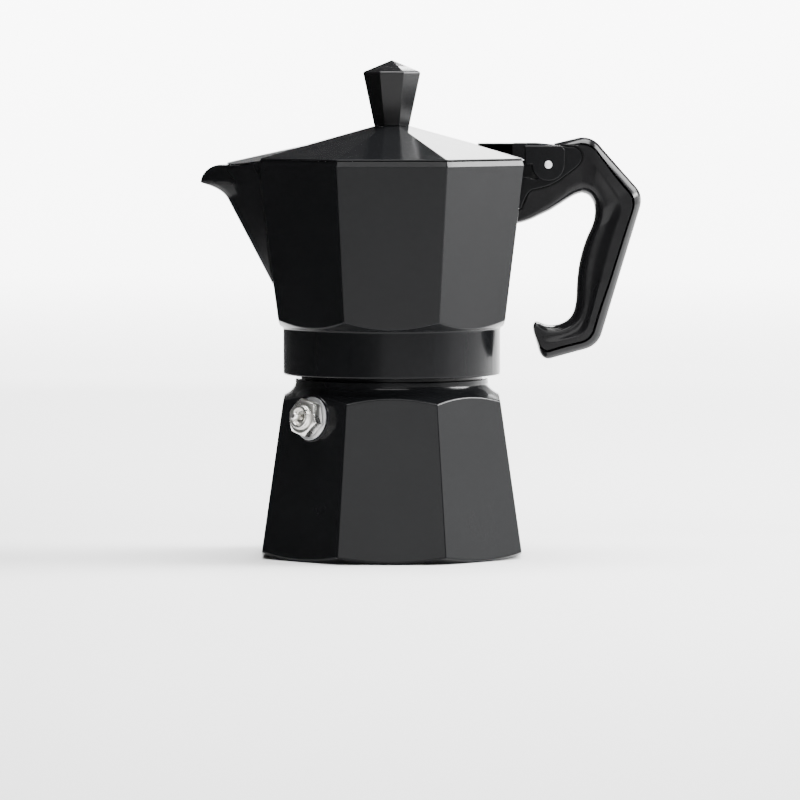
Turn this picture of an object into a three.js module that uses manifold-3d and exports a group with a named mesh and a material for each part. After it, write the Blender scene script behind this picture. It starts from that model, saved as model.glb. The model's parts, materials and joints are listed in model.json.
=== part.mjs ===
// A stove-top moka pot: an octagonal boiler, an octagonal upper chamber screwed on to it, a hinged lid
// and a moulded handle, with the funnel, seal and safety valve that it holds inside.
//
// Frame: millimetres, +Z up, origin on the pot's axis at the face it stands on.
// The handle points along +X and the spout along -X. The octagons have a flat facet square to each axis.

import * as THREE from "three";
import { mergeVertices } from "three/addons/utils/BufferGeometryUtils.js";
import Module from "manifold-3d";

const wasm = await Module();
wasm.setup();

// ---------------------------------------------------------------- driving dimensions

const SIDES = 8; // facets round the boiler, the chamber, the lid and the knob
const ROUND = 40; // segments of a large turned piece
const SCALLOP = 64; // segments of the cones that cut the facets' ends
const FINE = 24; // segments of a small turned piece
const FLAT = Math.cos(Math.PI / SIDES); // facet distance over corner radius

// Clearances
const RUNNING = 0.3; // between pieces that move on each other
const SEATED = 0.05; // between pieces that rest on each other
const PIN_PLAY = 0.2; // between the hinge pin and its holes, on the radius

// Boiler
const BOILER_HEIGHT = 57.4; // foot to the top of the shoulder ring
const BOILER_CORNER = 45.5; // corner radius at the foot
const BOILER_DRAFT = 0.1532; // corner radius lost for each mm of height
const BOILER_WALL = 3.0;
const BOILER_FLOOR = 3.2;
const FOOT_RADIUS = 40.5; // flat circle that the pot stands on
const FOOT_SLOPE = 0.49; // rise of the chamfer under the facets
const SHOULDER_DROP = 5.0; // facet tops below the top of the ring
const SHOULDER_SLOPE = 0.57; // fall of the cone that cuts the facet tops
const RING_RADIUS = 31.1;
const RING_HEIGHT = 1.6;

// Neck and thread
const NECK_HEIGHT = 11.6; // above the ring
const NECK_BORE = 26.5;
const NECK_RADIUS = 29.3; // thread root
const THREAD_DEPTH = 1.2;
const THREAD_PITCH = 3.0;
const THREAD_TURNS = 2.2;
const THREAD_FOOT = 1.5; // ridge width at its root
const THREAD_CREST = 0.6; // ridge width at its crest
const THREAD_PLAY = 0.4; // between a crest and the root that it faces
const THREAD_RISE = 2.8; // ring to the start of the ridge
const THREAD_SINK = 0.5; // how far a ridge is buried in its wall

// Funnel
const FUNNEL_SHEET = 0.8;
const FUNNEL_PLAY = 0.6; // cup to neck bore
const FUNNEL_DEPTH = 20.5; // flange to the strainer's shelf
const FUNNEL_FLANGE = 28.7;
const FUNNEL_FLANGE_THICK = 1.0;
const FUNNEL_CONE = 8.0; // height of the cone under the cup
const STEM_RADIUS = 4.0;
const STEM_LIFT = 5.0; // stem mouth above the boiler's floor
const STRAINER_THICK = 0.7;

// Seal
const GASKET_THICK = 3.3;
const GASKET_BORE = 21.5;
const FILTER_THICK = 0.8;
const RECESS_RADIUS = 29.1;
const HOLE_RADIUS = 0.8; // strainer and filter holes
const HOLE_RINGS = 3;
const HOLE_SPACING = 5.4;

// Upper chamber
const COLLAR_GAP = 1.25; // ring to collar
const COLLAR_HEIGHT = 14.95;
const COLLAR_RADIUS = 35.0;
const COLLAR_EDGE = 0.7; // chamfer of the collar's edges
const CHAMBER_HEIGHT = 54.4; // collar to rim
const CHAMBER_CORNER = 39.0; // corner radius where the facets start
const CHAMBER_DRAFT = 0.1303; // corner radius gained for each mm of height
const CHAMBER_WALL = 2.9;
const CHAMBER_CHAMFER = 0.7045; // rise of the cone under the facets
const RIM_EDGE = 1.8; // rounding of the rim's outer edge
const FLOOR_RISE = 5.9; // collar top to the chamber's floor
const COLUMN_HEIGHT = 39.0;
const COLUMN_FOOT = 9.0;
const COLUMN_TOP = 5.6;
const COLUMN_BORE = 2.7;
const OUTLET_RADIUS = 2.0;
const OUTLET_DROP = 8.0; // column top to the middle of its two outlets
const BORE_DROP = 6.0; // column top to the end of its bore
const DOME_RADIUS = 20.0; // shallow dome over the filter plate
const DOME_RISE = 2.6;

// Spout: the ridge is a straight line up the middle of a facet, then a curve out to the tip
const SPOUT_START = 12.4; // ridge start above the collar's top
const SPOUT_STRAIGHT = 29.1; // height of the straight ridge
const SPOUT_LEAN = 0.5223; // how far the straight ridge leans out for each mm of height
const SPOUT_REACH = 9.2; // tip beyond the end of the straight ridge
const SPOUT_CURL = 5.3; // tip above the end of the straight ridge
const SPOUT_BEND = [1.9, 3.6]; // control point of the curve, out and up from the straight ridge
const SPOUT_WALL = 2.3;
const SPOUT_DIP = 1.75; // spout rim below the chamber's rim

// Lid
const LID_SEAT = 0.1; // rim to lid
const LID_INSET = 0.5; // lid edge inside the chamber's rim, on the corner radius
const LID_EDGE = 0.4;
const LID_SLOPE = 0.2568; // rise of the facets for each mm of corner radius
const LID_RING = 3.0; // width of the flat ring that sits on the rim
const LID_CROWN = 6.25; // corner radius of the flat that the knob stands on
const LID_UNDER_CROWN = 7.2;
const BEAK_END = 10.9; // beak's end beyond the lid's facet
const BEAK_ROOT = 27.6; // where the beak's ridge leaves the lid's facet, from the axis
const BEAK_SLOPE = 0.22;
const BEAK_SIDE_SLOPE = [0.2765, 0.1262]; // fall of the beak's sides, along X and along Y

// Hinge: pin along Y, outside the chamber's wall
const PIN_OUT = 7.68; // pin beyond the chamber's facet, measured at the rim
const PIN_DROP = 1.65; // pin below the rim
const PIN_RADIUS = 1.25;
const TONGUE_HALF = 3.5; // half width of the handle's tongue
const EAR_THICK = 2.4;
const CHEEK_THICK = 2.2;
const ARM_STEP = 1.3; // how far the cheeks stand outside the arms behind them
const HINGE_PLAY = 0.3; // between tongue, ears and cheeks
const CHEEK_RADIUS = 5.3;
const WEB_TOP = 6.8; // top of the lid's hinge block above the pin
const WEB_BACK = 22.5; // start of the hinge block, inwards from the pin
const WEB_FRONT = 11.0; // end of the web between the arms, inwards from the pin

// Knob
const KNOB_FOOT = 6.1; // corner radius
const KNOB_HEAD = 10.07;
const KNOB_FLARE = 17.35; // height of the flared part
const KNOB_POINT = 3.85; // height of the low pyramid on top
const INSERT_RADIUS = 2.9;
const INSERT_LENGTH = 9.0;
const SCREW_RADIUS = 1.9;
const SCREW_LENGTH = 9.0;
const SCREW_HEAD = 3.8;
const SCREW_HEAD_HEIGHT = 2.1;
const WASHER_RADIUS = 4.6;
const WASHER_THICK = 0.6;

// Handle
const HANDLE_HALF = 7.5; // half width of the grip
const HANDLE_BEVEL = 1.0;
const HANDLE_GAP = 0.3; // to the chamber's wall and the ears

// Safety valve, on the boiler facet between the spout and the front
const VALVE_HEIGHT = 45.6;
const VALVE_AZIMUTH = -135; // degrees from +X
const VALVE_PAD = 7.0;
const VALVE_PAD_PROUD = 0.5;
const VALVE_HEX = 11.0; // across flats
const VALVE_HEX_HEIGHT = 4.0;
const VALVE_NOSE = 3.85;
const VALVE_NOSE_HEIGHT = 1.3;
const VALVE_MOUTH = 2.6;
const VALVE_WASHER = 6.4;
const VALVE_WASHER_THICK = 0.6;
const SHANK_RADIUS = 4.4;
const SHANK_LENGTH = 7.0; // below the hexagon
const SPRING_BORE = 3.0;
const GUIDE_BORE = 1.4;
const GUIDE_THICK = 0.8;
const STEM_ROD = 1.1;
const STEM_PROUD = 2.6; // rod beyond the nose
const PISTON_HEAD = 2.6;
const PISTON_HEAD_THICK = 1.0;
const PISTON_LIFT = 1.2; // travel that the spring allows
const SEAT_THICK = 1.4;
const SEAT_BORE = 1.6;
const WIRE_RADIUS = 0.25;
const SPRING_RADIUS = 2.05;
const SPRING_TURNS = 5;

// ---------------------------------------------------------------- heights worked out from them

const neckTop = BOILER_HEIGHT + NECK_HEIGHT;
const flangeTop = neckTop + SEATED + FUNNEL_FLANGE_THICK;
const gasketZ = flangeTop + SEATED;
const filterZ = gasketZ + GASKET_THICK;
const recessTop = filterZ + FILTER_THICK;
const collarZ = BOILER_HEIGHT + COLLAR_GAP;
const collarTop = collarZ + COLLAR_HEIGHT;
const rimZ = collarTop + CHAMBER_HEIGHT;
const floorZ = collarTop + FLOOR_RISE;
const lidZ = rimZ + LID_SEAT;
const rimCorner = CHAMBER_CORNER + CHAMBER_DRAFT * CHAMBER_HEIGHT;
const lidCorner = rimCorner - LID_INSET;
const crownZ = lidZ + LID_EDGE + (lidCorner - LID_CROWN) * LID_SLOPE;
const underCrownZ = lidZ + (lidCorner - LID_RING - LID_UNDER_CROWN) * LID_SLOPE;
const pinX = rimCorner * FLAT + PIN_OUT;
const pinZ = rimZ - PIN_DROP;
const earInner = TONGUE_HALF + HINGE_PLAY;
const earOuter = earInner + EAR_THICK;
const cheekInner = earOuter + HINGE_PLAY;
const cheekOuter = cheekInner + CHEEK_THICK;
const headHalf = earOuter; // half width of the handle's head, flush with the ears

// ---------------------------------------------------------------- solids

// One closed body from a three.js geometry. A profile may run either way: an inside-out body is turned round.
function solid(geometry) {
  const flat = geometry.index ? geometry.toNonIndexed() : geometry;
  const bare = new THREE.BufferGeometry();
  bare.setAttribute("position", flat.getAttribute("position"));
  const merged = mergeVertices(bare, 1e-4);
  const triangles = [];
  const index = merged.index.array;
  for (let i = 0; i < index.length; i += 3) {
    const [a, b, c] = [index[i], index[i + 1], index[i + 2]];
    if (a !== b && b !== c && c !== a) triangles.push([a, b, c]);
  }
  const build = (list) =>
    new wasm.Manifold(
      new wasm.Mesh({
        numProp: 3,
        vertProperties: merged.attributes.position.array,
        triVerts: new Uint32Array(list.flat()),
      }),
    );
  const made = build(triangles);
  return made.volume() < 0 ? build(triangles.map(([a, b, c]) => [a, c, b])) : made;
}

// A body turned about +Z from a closed [radius, height] profile.
function turned(profile, segments = ROUND, start = 0) {
  const points = profile.map(([r, z]) => new THREE.Vector2(r, z));
  return solid(new THREE.LatheGeometry(points, segments, start).rotateX(Math.PI / 2));
}

// The same with flat facets, one of them square to each axis. Radii are corner radii.
const faceted = (profile) => turned(profile, SIDES, Math.PI / SIDES);

// A disc or a ring between two heights.
function ring(inner, outer, low, high, segments = ROUND) {
  const closed = [[inner, low], [outer, low], [outer, high], [inner, high]];
  return turned(inner > 0 ? [...closed, [inner, low]] : closed, segments);
}

const disc = (radius, low, high, segments = ROUND) => ring(0, radius, low, high, segments);

const polygon = (points) => new THREE.Shape(points.map(([x, y]) => new THREE.Vector2(x, y)));

// A shape drawn in the XZ plane and made solid from low to high along Y.
function slab(shape, low, high, bevel = 0) {
  const depth = high - low - 2 * bevel;
  const options = {
    depth,
    bevelEnabled: bevel > 0,
    bevelThickness: bevel,
    bevelSize: bevel,
    bevelOffset: -bevel,
    bevelSegments: 2,
    curveSegments: 8,
  };
  const geometry = new THREE.ExtrudeGeometry(shape, options);
  return solid(geometry.rotateX(Math.PI / 2).translate(0, high - bevel, 0));
}

// A shape drawn in the XY plane and made solid from low to high along Z.
function plate(shape, low, high) {
  const geometry = new THREE.ExtrudeGeometry(shape, { depth: high - low, bevelEnabled: false });
  return solid(geometry.translate(0, 0, low));
}

function box(minimum, maximum) {
  const size = maximum.map((value, axis) => value - minimum[axis]);
  const middle = maximum.map((value, axis) => (value + minimum[axis]) / 2);
  return solid(new THREE.BoxGeometry(...size).translate(...middle));
}

const mirroredInY = (body) => body.mirror([0, 1, 0]);
const bothSides = (body) => body.add(mirroredInY(body));

// A skin over rings of the same number of points, closed by a flat cap at each end.
function lofted(rings) {
  const count = rings[0].length;
  const rows = rings.length - 1;
  const geometry = new THREE.CylinderGeometry(1, 1, 1, count, rows);
  const position = geometry.getAttribute("position");
  const spot = new THREE.Vector3();
  for (let i = 0; i < position.count; i += 1) {
    spot.fromBufferAttribute(position, i);
    const outline = rings[Math.round((0.5 - spot.y) * rows)];
    const turn = Math.atan2(spot.x, spot.z) / (2 * Math.PI);
    const column = (Math.round(turn * count) + count) % count;
    const onAxis = Math.hypot(spot.x, spot.z) < 0.5;
    const middle = [0, 1, 2].map((axis) => outline.reduce((sum, p) => sum + p[axis], 0) / count);
    position.setXYZ(i, ...(onAxis ? middle : outline[column]));
  }
  return solid(geometry);
}

// A thread ridge: a trapezium wrapped on a helix about +Z, fading out at both ends.
// outward is 1 for a ridge on a neck and -1 for a ridge in a bore.
function threadRidge(rootRadius, outward, startZ) {
  const steps = Math.round(THREAD_TURNS * 32);
  const foot = THREAD_FOOT / 2;
  const crest = THREAD_CREST / 2;
  const shape = polygon([[-THREAD_SINK, -foot], [0, -foot], [THREAD_DEPTH, -crest],
    [THREAD_DEPTH, crest], [0, foot], [-THREAD_SINK, foot]]);
  const geometry = new THREE.ExtrudeGeometry(shape, { depth: 1, steps, bevelEnabled: false });
  const position = geometry.getAttribute("position");
  for (let i = 0; i < position.count; i += 1) {
    const along = position.getZ(i);
    const fade = Math.min(1, 8 * along + 0.15, 8 * (1 - along) + 0.15);
    const depth = position.getX(i) > 0 ? position.getX(i) * fade : position.getX(i);
    const angle = 2 * Math.PI * THREAD_TURNS * along;
    const radius = rootRadius + outward * depth;
    const height = startZ + position.getY(i) + THREAD_PITCH * THREAD_TURNS * along;
    position.setXYZ(i, radius * Math.cos(angle), radius * Math.sin(angle), height);
  }
  return solid(geometry);
}

// Rings of holes through a plate, as one body to cut with.
function holePattern(low, high) {
  let pattern = disc(HOLE_RADIUS, low, high, 6);
  for (let row = 1; row <= HOLE_RINGS; row += 1) {
    for (let i = 0; i < 6 * row; i += 1) {
      const angle = (2 * Math.PI * i) / (6 * row);
      const at = [row * HOLE_SPACING * Math.cos(angle), row * HOLE_SPACING * Math.sin(angle), 0];
      pattern = pattern.add(disc(HOLE_RADIUS, low, high, 6).translate(at));
    }
  }
  return pattern;
}

function mesh(name, body, material) {
  const made = body.getMesh();
  const geometry = new THREE.BufferGeometry();
  geometry.setAttribute("position", new THREE.BufferAttribute(made.vertProperties, 3));
  geometry.setIndex(new THREE.BufferAttribute(made.triVerts, 1));
  geometry.computeVertexNormals();
  const result = new THREE.Mesh(geometry, material);
  result.name = name;
  return result;
}

// ---------------------------------------------------------------- materials

const finish = (color, roughness, metalness) =>
  new THREE.MeshStandardMaterial({ color, roughness, metalness });

const blackPaint = () => finish(0x101112, 0.32, 0.3);
const blackPlastic = () => finish(0x060606, 0.15, 0.0);
const castAluminium = () => finish(0xa9abac, 0.42, 1.0);
const sheetAluminium = () => finish(0xb9bbbd, 0.35, 1.0);
const nickel = () => finish(0xcfcfcc, 0.2, 1.0);
const steel = () => finish(0xd5d6d8, 0.22, 1.0);
const brass = () => finish(0xb68d40, 0.3, 1.0);
const silicone = () => finish(0xe4e1d8, 0.7, 0.0);

// ---------------------------------------------------------------- boiler

const boilerCorner = (z) => BOILER_CORNER - BOILER_DRAFT * z;
const shoulderZ = BOILER_HEIGHT - SHOULDER_DROP;
const shoulderRadius = boilerCorner(shoulderZ) * FLAT;

function boilerOutside() {
  const facets = faceted([[0, 0], [boilerCorner(0), 0], [boilerCorner(BOILER_HEIGHT), BOILER_HEIGHT],
    [0, BOILER_HEIGHT]]);
  const wide = BOILER_CORNER + 2;
  const ringFoot = BOILER_HEIGHT - RING_HEIGHT;
  const curve = new THREE.QuadraticBezierCurve(
    new THREE.Vector2(shoulderRadius, shoulderZ),
    new THREE.Vector2(RING_RADIUS + 0.3, shoulderZ + 1.6),
    new THREE.Vector2(RING_RADIUS, ringFoot),
  );
  const envelope = turned([
    [0, 0],
    [FOOT_RADIUS, 0],
    [wide, (wide - FOOT_RADIUS) * FOOT_SLOPE],
    [wide, shoulderZ - (wide - shoulderRadius) * SHOULDER_SLOPE],
    ...curve.getPoints(4).map((p) => [p.x, p.y]),
    [RING_RADIUS, BOILER_HEIGHT],
    [0, BOILER_HEIGHT],
  ], SCALLOP);
  return facets.intersect(envelope);
}

function boilerNeck() {
  const overlap = 2;
  const edge = 0.6;
  const neck = turned([[0, BOILER_HEIGHT - overlap], [NECK_RADIUS, BOILER_HEIGHT - overlap],
    [NECK_RADIUS, neckTop - edge], [NECK_RADIUS - edge, neckTop], [0, neckTop]]);
  return neck.add(threadRidge(NECK_RADIUS, 1, BOILER_HEIGHT + THREAD_RISE));
}

function boilerInside() {
  const facet = (z) => boilerCorner(z) * FLAT - BOILER_WALL;
  const cornerRound = 3;
  const widest = BOILER_FLOOR + cornerRound;
  const narrowest = shoulderZ - BOILER_WALL;
  return turned([
    [0, BOILER_FLOOR],
    [facet(widest) - cornerRound, BOILER_FLOOR],
    [facet(widest) - 0.3 * cornerRound, BOILER_FLOOR + 0.3 * cornerRound],
    [facet(widest), widest],
    [facet(narrowest), narrowest],
    [NECK_BORE, BOILER_HEIGHT - RING_HEIGHT],
    [NECK_BORE, neckTop + 1],
    [0, neckTop + 1],
  ]);
}

// Places a body drawn about +Z, with z = 0 at the facet, on the valve's axis: square to the drafted facet.
function onValveAxis(body) {
  const tilt = Math.atan(BOILER_DRAFT * FLAT);
  const degrees = THREE.MathUtils.radToDeg(tilt);
  const out = boilerCorner(VALVE_HEIGHT) * FLAT;
  return body.rotate([0, 90 - degrees, 0]).translate([out, 0, VALVE_HEIGHT]).rotate([0, 0, VALVE_AZIMUTH]);
}

function boiler() {
  const pad = onValveAxis(turned([[0, -2], [VALVE_PAD + 1.2, -2], [VALVE_PAD, VALVE_PAD_PROUD],
    [0, VALVE_PAD_PROUD]], ROUND));
  const hole = onValveAxis(disc(SHANK_RADIUS + RUNNING, -12, 6, FINE));
  return boilerOutside().add(pad).add(boilerNeck()).subtract(boilerInside()).subtract(hole);
}

// ---------------------------------------------------------------- safety valve

const washerZ = VALVE_PAD_PROUD + SEATED;
const hexZ = washerZ + VALVE_WASHER_THICK + SEATED;
const noseZ = hexZ + VALVE_HEX_HEIGHT + VALVE_NOSE_HEIGHT;
const shankZ = hexZ - SHANK_LENGTH;
const guideZ = noseZ - VALVE_NOSE_HEIGHT - GUIDE_THICK;
const seatTop = shankZ + SEAT_THICK;
const pistonZ = seatTop + SEATED;

function valveBody() {
  const corner = VALVE_HEX / 2 / Math.cos(Math.PI / 6);
  const prism = turned([[0, hexZ], [corner, hexZ], [corner, noseZ - VALVE_NOSE_HEIGHT],
    [0, noseZ - VALVE_NOSE_HEIGHT]], 6, Math.PI / 2);
  const chamfer = 0.6;
  const cone = turned([[0, hexZ], [corner + 1, hexZ], [corner + 1, noseZ - VALVE_NOSE_HEIGHT - 1.2],
    [VALVE_HEX / 2 - 0.4, noseZ - VALVE_NOSE_HEIGHT], [0, noseZ - VALVE_NOSE_HEIGHT]], ROUND);
  const nose = turned([[0, hexZ], [VALVE_NOSE, hexZ], [VALVE_NOSE, noseZ - chamfer],
    [VALVE_NOSE - chamfer, noseZ], [0, noseZ]], FINE);
  const shank = disc(SHANK_RADIUS, shankZ, hexZ + 1, FINE);
  const chamber = disc(SPRING_BORE, shankZ - 1, guideZ, FINE);
  const guide = disc(GUIDE_BORE, shankZ - 1, noseZ + 1, FINE);
  const mouth = disc(VALVE_MOUTH, guideZ + GUIDE_THICK, noseZ + 1, FINE);
  const outside = prism.intersect(cone).add(nose).add(shank);
  return onValveAxis(outside.subtract(chamber).subtract(guide).subtract(mouth));
}

function valvePiston() {
  const headTop = pistonZ + PISTON_HEAD_THICK;
  const tip = noseZ + STEM_PROUD;
  return onValveAxis(turned([[0, pistonZ], [PISTON_HEAD - 0.5, pistonZ], [PISTON_HEAD, pistonZ + 0.5],
    [PISTON_HEAD, headTop], [STEM_ROD, headTop], [STEM_ROD, tip - 0.3], [STEM_ROD - 0.3, tip], [0, tip]],
  FINE));
}

// The coil is drawn at the length it has when the piston is fully lifted, resting on the guide.
function valveSpring() {
  const low = pistonZ + PISTON_HEAD_THICK + PISTON_LIFT + WIRE_RADIUS + SEATED;
  const high = guideZ - WIRE_RADIUS - SEATED;
  const stepsPerTurn = 14;
  const steps = SPRING_TURNS * stepsPerTurn;
  const around = 6;
  const rings = [];
  for (let i = 0; i <= steps; i += 1) {
    const angle = (2 * Math.PI * i) / stepsPerTurn;
    const middleZ = low + ((high - low) * i) / steps;
    rings.push(Array.from({ length: around }, (_, k) => {
      const turn = (2 * Math.PI * k) / around;
      const radius = SPRING_RADIUS + WIRE_RADIUS * Math.cos(turn);
      return [radius * Math.cos(angle), radius * Math.sin(angle), middleZ + WIRE_RADIUS * Math.sin(turn)];
    }));
  }
  return onValveAxis(lofted(rings));
}

const valveSeat = () => onValveAxis(ring(SEAT_BORE, SPRING_BORE - 0.1, shankZ, seatTop, FINE));
const valveWasher = () =>
  onValveAxis(ring(SHANK_RADIUS + 0.1, VALVE_WASHER, washerZ, washerZ + VALVE_WASHER_THICK, ROUND));

// ---------------------------------------------------------------- funnel

const cupRadius = NECK_BORE - FUNNEL_PLAY;
const shelfZ = flangeTop - FUNNEL_DEPTH;

function funnel() {
  const inner = cupRadius - FUNNEL_SHEET;
  const stemInner = STEM_RADIUS - FUNNEL_SHEET;
  const flangeZ = neckTop + SEATED;
  const shelf = 1.2;
  const coneZ = shelfZ - FUNNEL_CONE;
  const mouthZ = BOILER_FLOOR + STEM_LIFT;
  return turned([
    [STEM_RADIUS, mouthZ],
    [STEM_RADIUS, coneZ],
    [cupRadius, shelfZ - 1],
    [cupRadius, flangeZ],
    [FUNNEL_FLANGE, flangeZ],
    [FUNNEL_FLANGE, flangeTop],
    [inner, flangeTop],
    [inner, shelfZ],
    [inner - shelf, shelfZ],
    [stemInner, coneZ + 0.6],
    [stemInner, mouthZ],
    [STEM_RADIUS, mouthZ],
  ]);
}

function funnelStrainer() {
  const low = shelfZ + SEATED;
  const radius = cupRadius - FUNNEL_SHEET - 0.1;
  return disc(radius, low, low + STRAINER_THICK).subtract(holePattern(low - 1, low + STRAINER_THICK + 1));
}

// ---------------------------------------------------------------- seal

const gasket = () => ring(GASKET_BORE, RECESS_RADIUS - 0.1, gasketZ, filterZ);

function filterPlate() {
  const radius = RECESS_RADIUS - 0.4;
  return disc(radius, filterZ, recessTop - SEATED).subtract(holePattern(filterZ - 1, recessTop + 1));
}

// ---------------------------------------------------------------- upper chamber

const chamberCorner = (z) => CHAMBER_CORNER + CHAMBER_DRAFT * (z - collarTop);
const chamberFacet = (z) => chamberCorner(z) * FLAT;
const collarBore = NECK_RADIUS + THREAD_DEPTH + THREAD_PLAY;

function chamberOutside() {
  const facets = faceted([
    [0, collarZ],
    [chamberCorner(collarZ), collarZ],
    [chamberCorner(rimZ - RIM_EDGE), rimZ - RIM_EDGE],
    [chamberCorner(rimZ) - 0.3 * RIM_EDGE, rimZ - 0.3 * RIM_EDGE],
    [chamberCorner(rimZ) - 0.75 * RIM_EDGE, rimZ],
    [0, rimZ],
  ]);
  const wide = rimCorner + 2;
  const envelope = turned([
    [0, collarZ],
    [COLLAR_RADIUS - COLLAR_EDGE, collarZ],
    [COLLAR_RADIUS, collarZ + COLLAR_EDGE],
    [COLLAR_RADIUS, collarTop],
    [wide, collarTop + (wide - COLLAR_RADIUS) * CHAMBER_CHAMFER],
    [wide, rimZ],
    [0, rimZ],
  ], SCALLOP);
  return facets.intersect(envelope);
}

function chamberInside() {
  const inner = (z) => chamberCorner(z) - CHAMBER_WALL / FLAT;
  const cornerRound = 3;
  return faceted([
    [0, floorZ],
    [inner(floorZ) - cornerRound, floorZ],
    [inner(floorZ) - 0.3 * cornerRound, floorZ + 0.3 * cornerRound],
    [inner(floorZ + cornerRound), floorZ + cornerRound],
    [inner(rimZ + 1), rimZ + 1],
    [0, rimZ + 1],
  ]);
}

// Thread bore, seal recess and the shallow dome that leads into the column.
function chamberUnderside() {
  const boreTop = flangeTop + 3 * SEATED;
  return turned([
    [0, collarZ - 1],
    [collarBore, collarZ - 1],
    [collarBore, boreTop],
    [RECESS_RADIUS, boreTop],
    [RECESS_RADIUS, recessTop],
    [DOME_RADIUS, recessTop],
    [COLUMN_BORE, recessTop + DOME_RISE],
    [COLUMN_BORE, floorZ + COLUMN_HEIGHT - BORE_DROP],
    [0, floorZ + COLUMN_HEIGHT - BORE_DROP],
  ]);
}

function column() {
  const top = floorZ + COLUMN_HEIGHT;
  return turned([[0, floorZ - 1], [COLUMN_FOOT + 2, floorZ - 1], [COLUMN_FOOT, floorZ + 1.5],
    [COLUMN_TOP, top - 2], [COLUMN_TOP - 1.6, top - 0.4], [0, top]], FINE);
}

function columnOutlets() {
  const length = 2 * COLUMN_FOOT;
  const outlet = new THREE.CylinderGeometry(OUTLET_RADIUS, OUTLET_RADIUS, length, 12);
  return solid(outlet.translate(0, 0, floorZ + COLUMN_HEIGHT - OUTLET_DROP));
}

const ridgeZ = collarTop + SPOUT_START;
const ridgeX = -chamberFacet(ridgeZ);
const bendZ = ridgeZ + SPOUT_STRAIGHT;
const bendX = ridgeX - SPOUT_LEAN * SPOUT_STRAIGHT;
const tipX = bendX - SPOUT_REACH;
const tipZ = bendZ + SPOUT_CURL;

// [x, z] points up the spout's ridge, from inside the wall to above the rim.
function ridgeLine() {
  const sunk = 2;
  const curve = new THREE.QuadraticBezierCurve(
    new THREE.Vector2(bendX, bendZ),
    new THREE.Vector2(bendX - SPOUT_BEND[0], bendZ + SPOUT_BEND[1]),
    new THREE.Vector2(tipX, tipZ),
  );
  const points = curve.getPoints(5).map((p) => [p.x, p.y]);
  return [[ridgeX + SPOUT_LEAN * sunk, ridgeZ - sunk], ...points, [tipX, rimZ + 2]];
}

// The V of the spout, its ridge moved in by inset. Its sides run from the ridge to the facet's edges
// at the rim.
function spoutWedge(inset, reachInside) {
  const halfFacet = rimCorner * Math.sin(Math.PI / SIDES);
  const widthAt = (z) => (halfFacet * (z - ridgeZ)) / (rimZ - ridgeZ);
  return lofted(ridgeLine().map(([x, z]) => {
    const facetX = -chamberFacet(z);
    const out = Math.max(facetX - x, 0.4);
    const slope = Math.max(widthAt(z), 0.4) / out;
    const apex = x + inset;
    const back = Math.max(facetX, x + 0.5) + reachInside;
    const half = slope * (back - apex);
    return [[apex, 0, z], [back, half, z], [back, -half, z]];
  }));
}

// What is cut away above the spout's dipped rim and its rounded lip.
function aboveSpout() {
  const wallX = -chamberFacet(rimZ);
  const dipX = wallX - 4.0;
  const lipZ = rimZ - SPOUT_DIP;
  const lip = new THREE.Shape();
  lip.moveTo(wallX + 10, rimZ);
  lip.lineTo(wallX + 1.5, rimZ);
  lip.lineTo(dipX, lipZ);
  lip.lineTo(tipX + 6.5, lipZ - 0.1);
  lip.quadraticCurveTo(tipX + 1.6, lipZ - 0.5, tipX, tipZ + 0.2);
  lip.lineTo(tipX - 5, tipZ + 0.2);
  lip.lineTo(tipX - 5, rimZ + 5);
  lip.lineTo(wallX + 10, rimZ + 5);
  const beyond = 25;
  return slab(lip, -beyond, beyond);
}

// Outline of one ear of the handle bracket, about the pin: out along the handle and down to the wall.
function earShape(grow) {
  const shape = new THREE.Shape();
  const wall = -PIN_OUT - 2.5;
  shape.moveTo(wall, -3.9);
  shape.lineTo(-3.6, -4.6 + grow);
  shape.absarc(0, 0, 5.0 + grow, THREE.MathUtils.degToRad(232), THREE.MathUtils.degToRad(95), true);
  shape.lineTo(4.4, 6.0 + grow);
  shape.lineTo(8.4, 5.6 + grow);
  shape.bezierCurveTo(11.4 + grow, 5.0, 12.2 + grow, 1.4, 8.9 + grow, -1.2);
  shape.lineTo(4.3, -4.6 - grow);
  shape.quadraticCurveTo(0.9, -7.3 - grow, -4.9 + 0.4 * grow, -8.2 - grow);
  shape.quadraticCurveTo(-7.0 + 0.9 * grow, -9.0 - 0.8 * grow, -8.5 + grow, -14.2 - grow);
  shape.lineTo(wall, -14.2 - grow);
  return shape;
}

const atPin = (body) => body.translate([pinX, 0, pinZ]);

function pinHole() {
  const hole = new THREE.CylinderGeometry(PIN_RADIUS + PIN_PLAY, PIN_RADIUS + PIN_PLAY, 40, FINE);
  return solid(hole);
}

function handleBracket() {
  const ears = bothSides(slab(earShape(0), earInner, earOuter));
  const wall = -PIN_OUT - 2.5;
  const web = slab(polygon([[wall, -3.9], [-5.6, -4.2], [-5.6, -7.5], [-8.4, -10.2], [-8.9, -12.9],
    [wall, -12.9]]), -earOuter, earOuter);
  const stop = slab(polygon([[wall, 1.3], [-5.6, 1.3], [-5.6, -5], [wall, -5]]), -TONGUE_HALF, TONGUE_HALF);
  return atPin(ears.add(web).add(stop).subtract(pinHole()));
}

function upperChamber() {
  const spout = spoutWedge(0, 2).subtract(aboveSpout());
  const apexInset = SPOUT_WALL * Math.SQRT2;
  const cavity = chamberInside().add(spoutWedge(apexInset, 5));
  const shell = chamberOutside().add(spout).subtract(aboveSpout()).add(handleBracket());
  const femaleZ = BOILER_HEIGHT + THREAD_RISE + THREAD_PITCH / 2;
  return shell
    .subtract(cavity)
    .add(column())
    .subtract(columnOutlets())
    .subtract(chamberUnderside())
    .add(threadRidge(collarBore, -1, femaleZ));
}

// ---------------------------------------------------------------- lid

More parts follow.
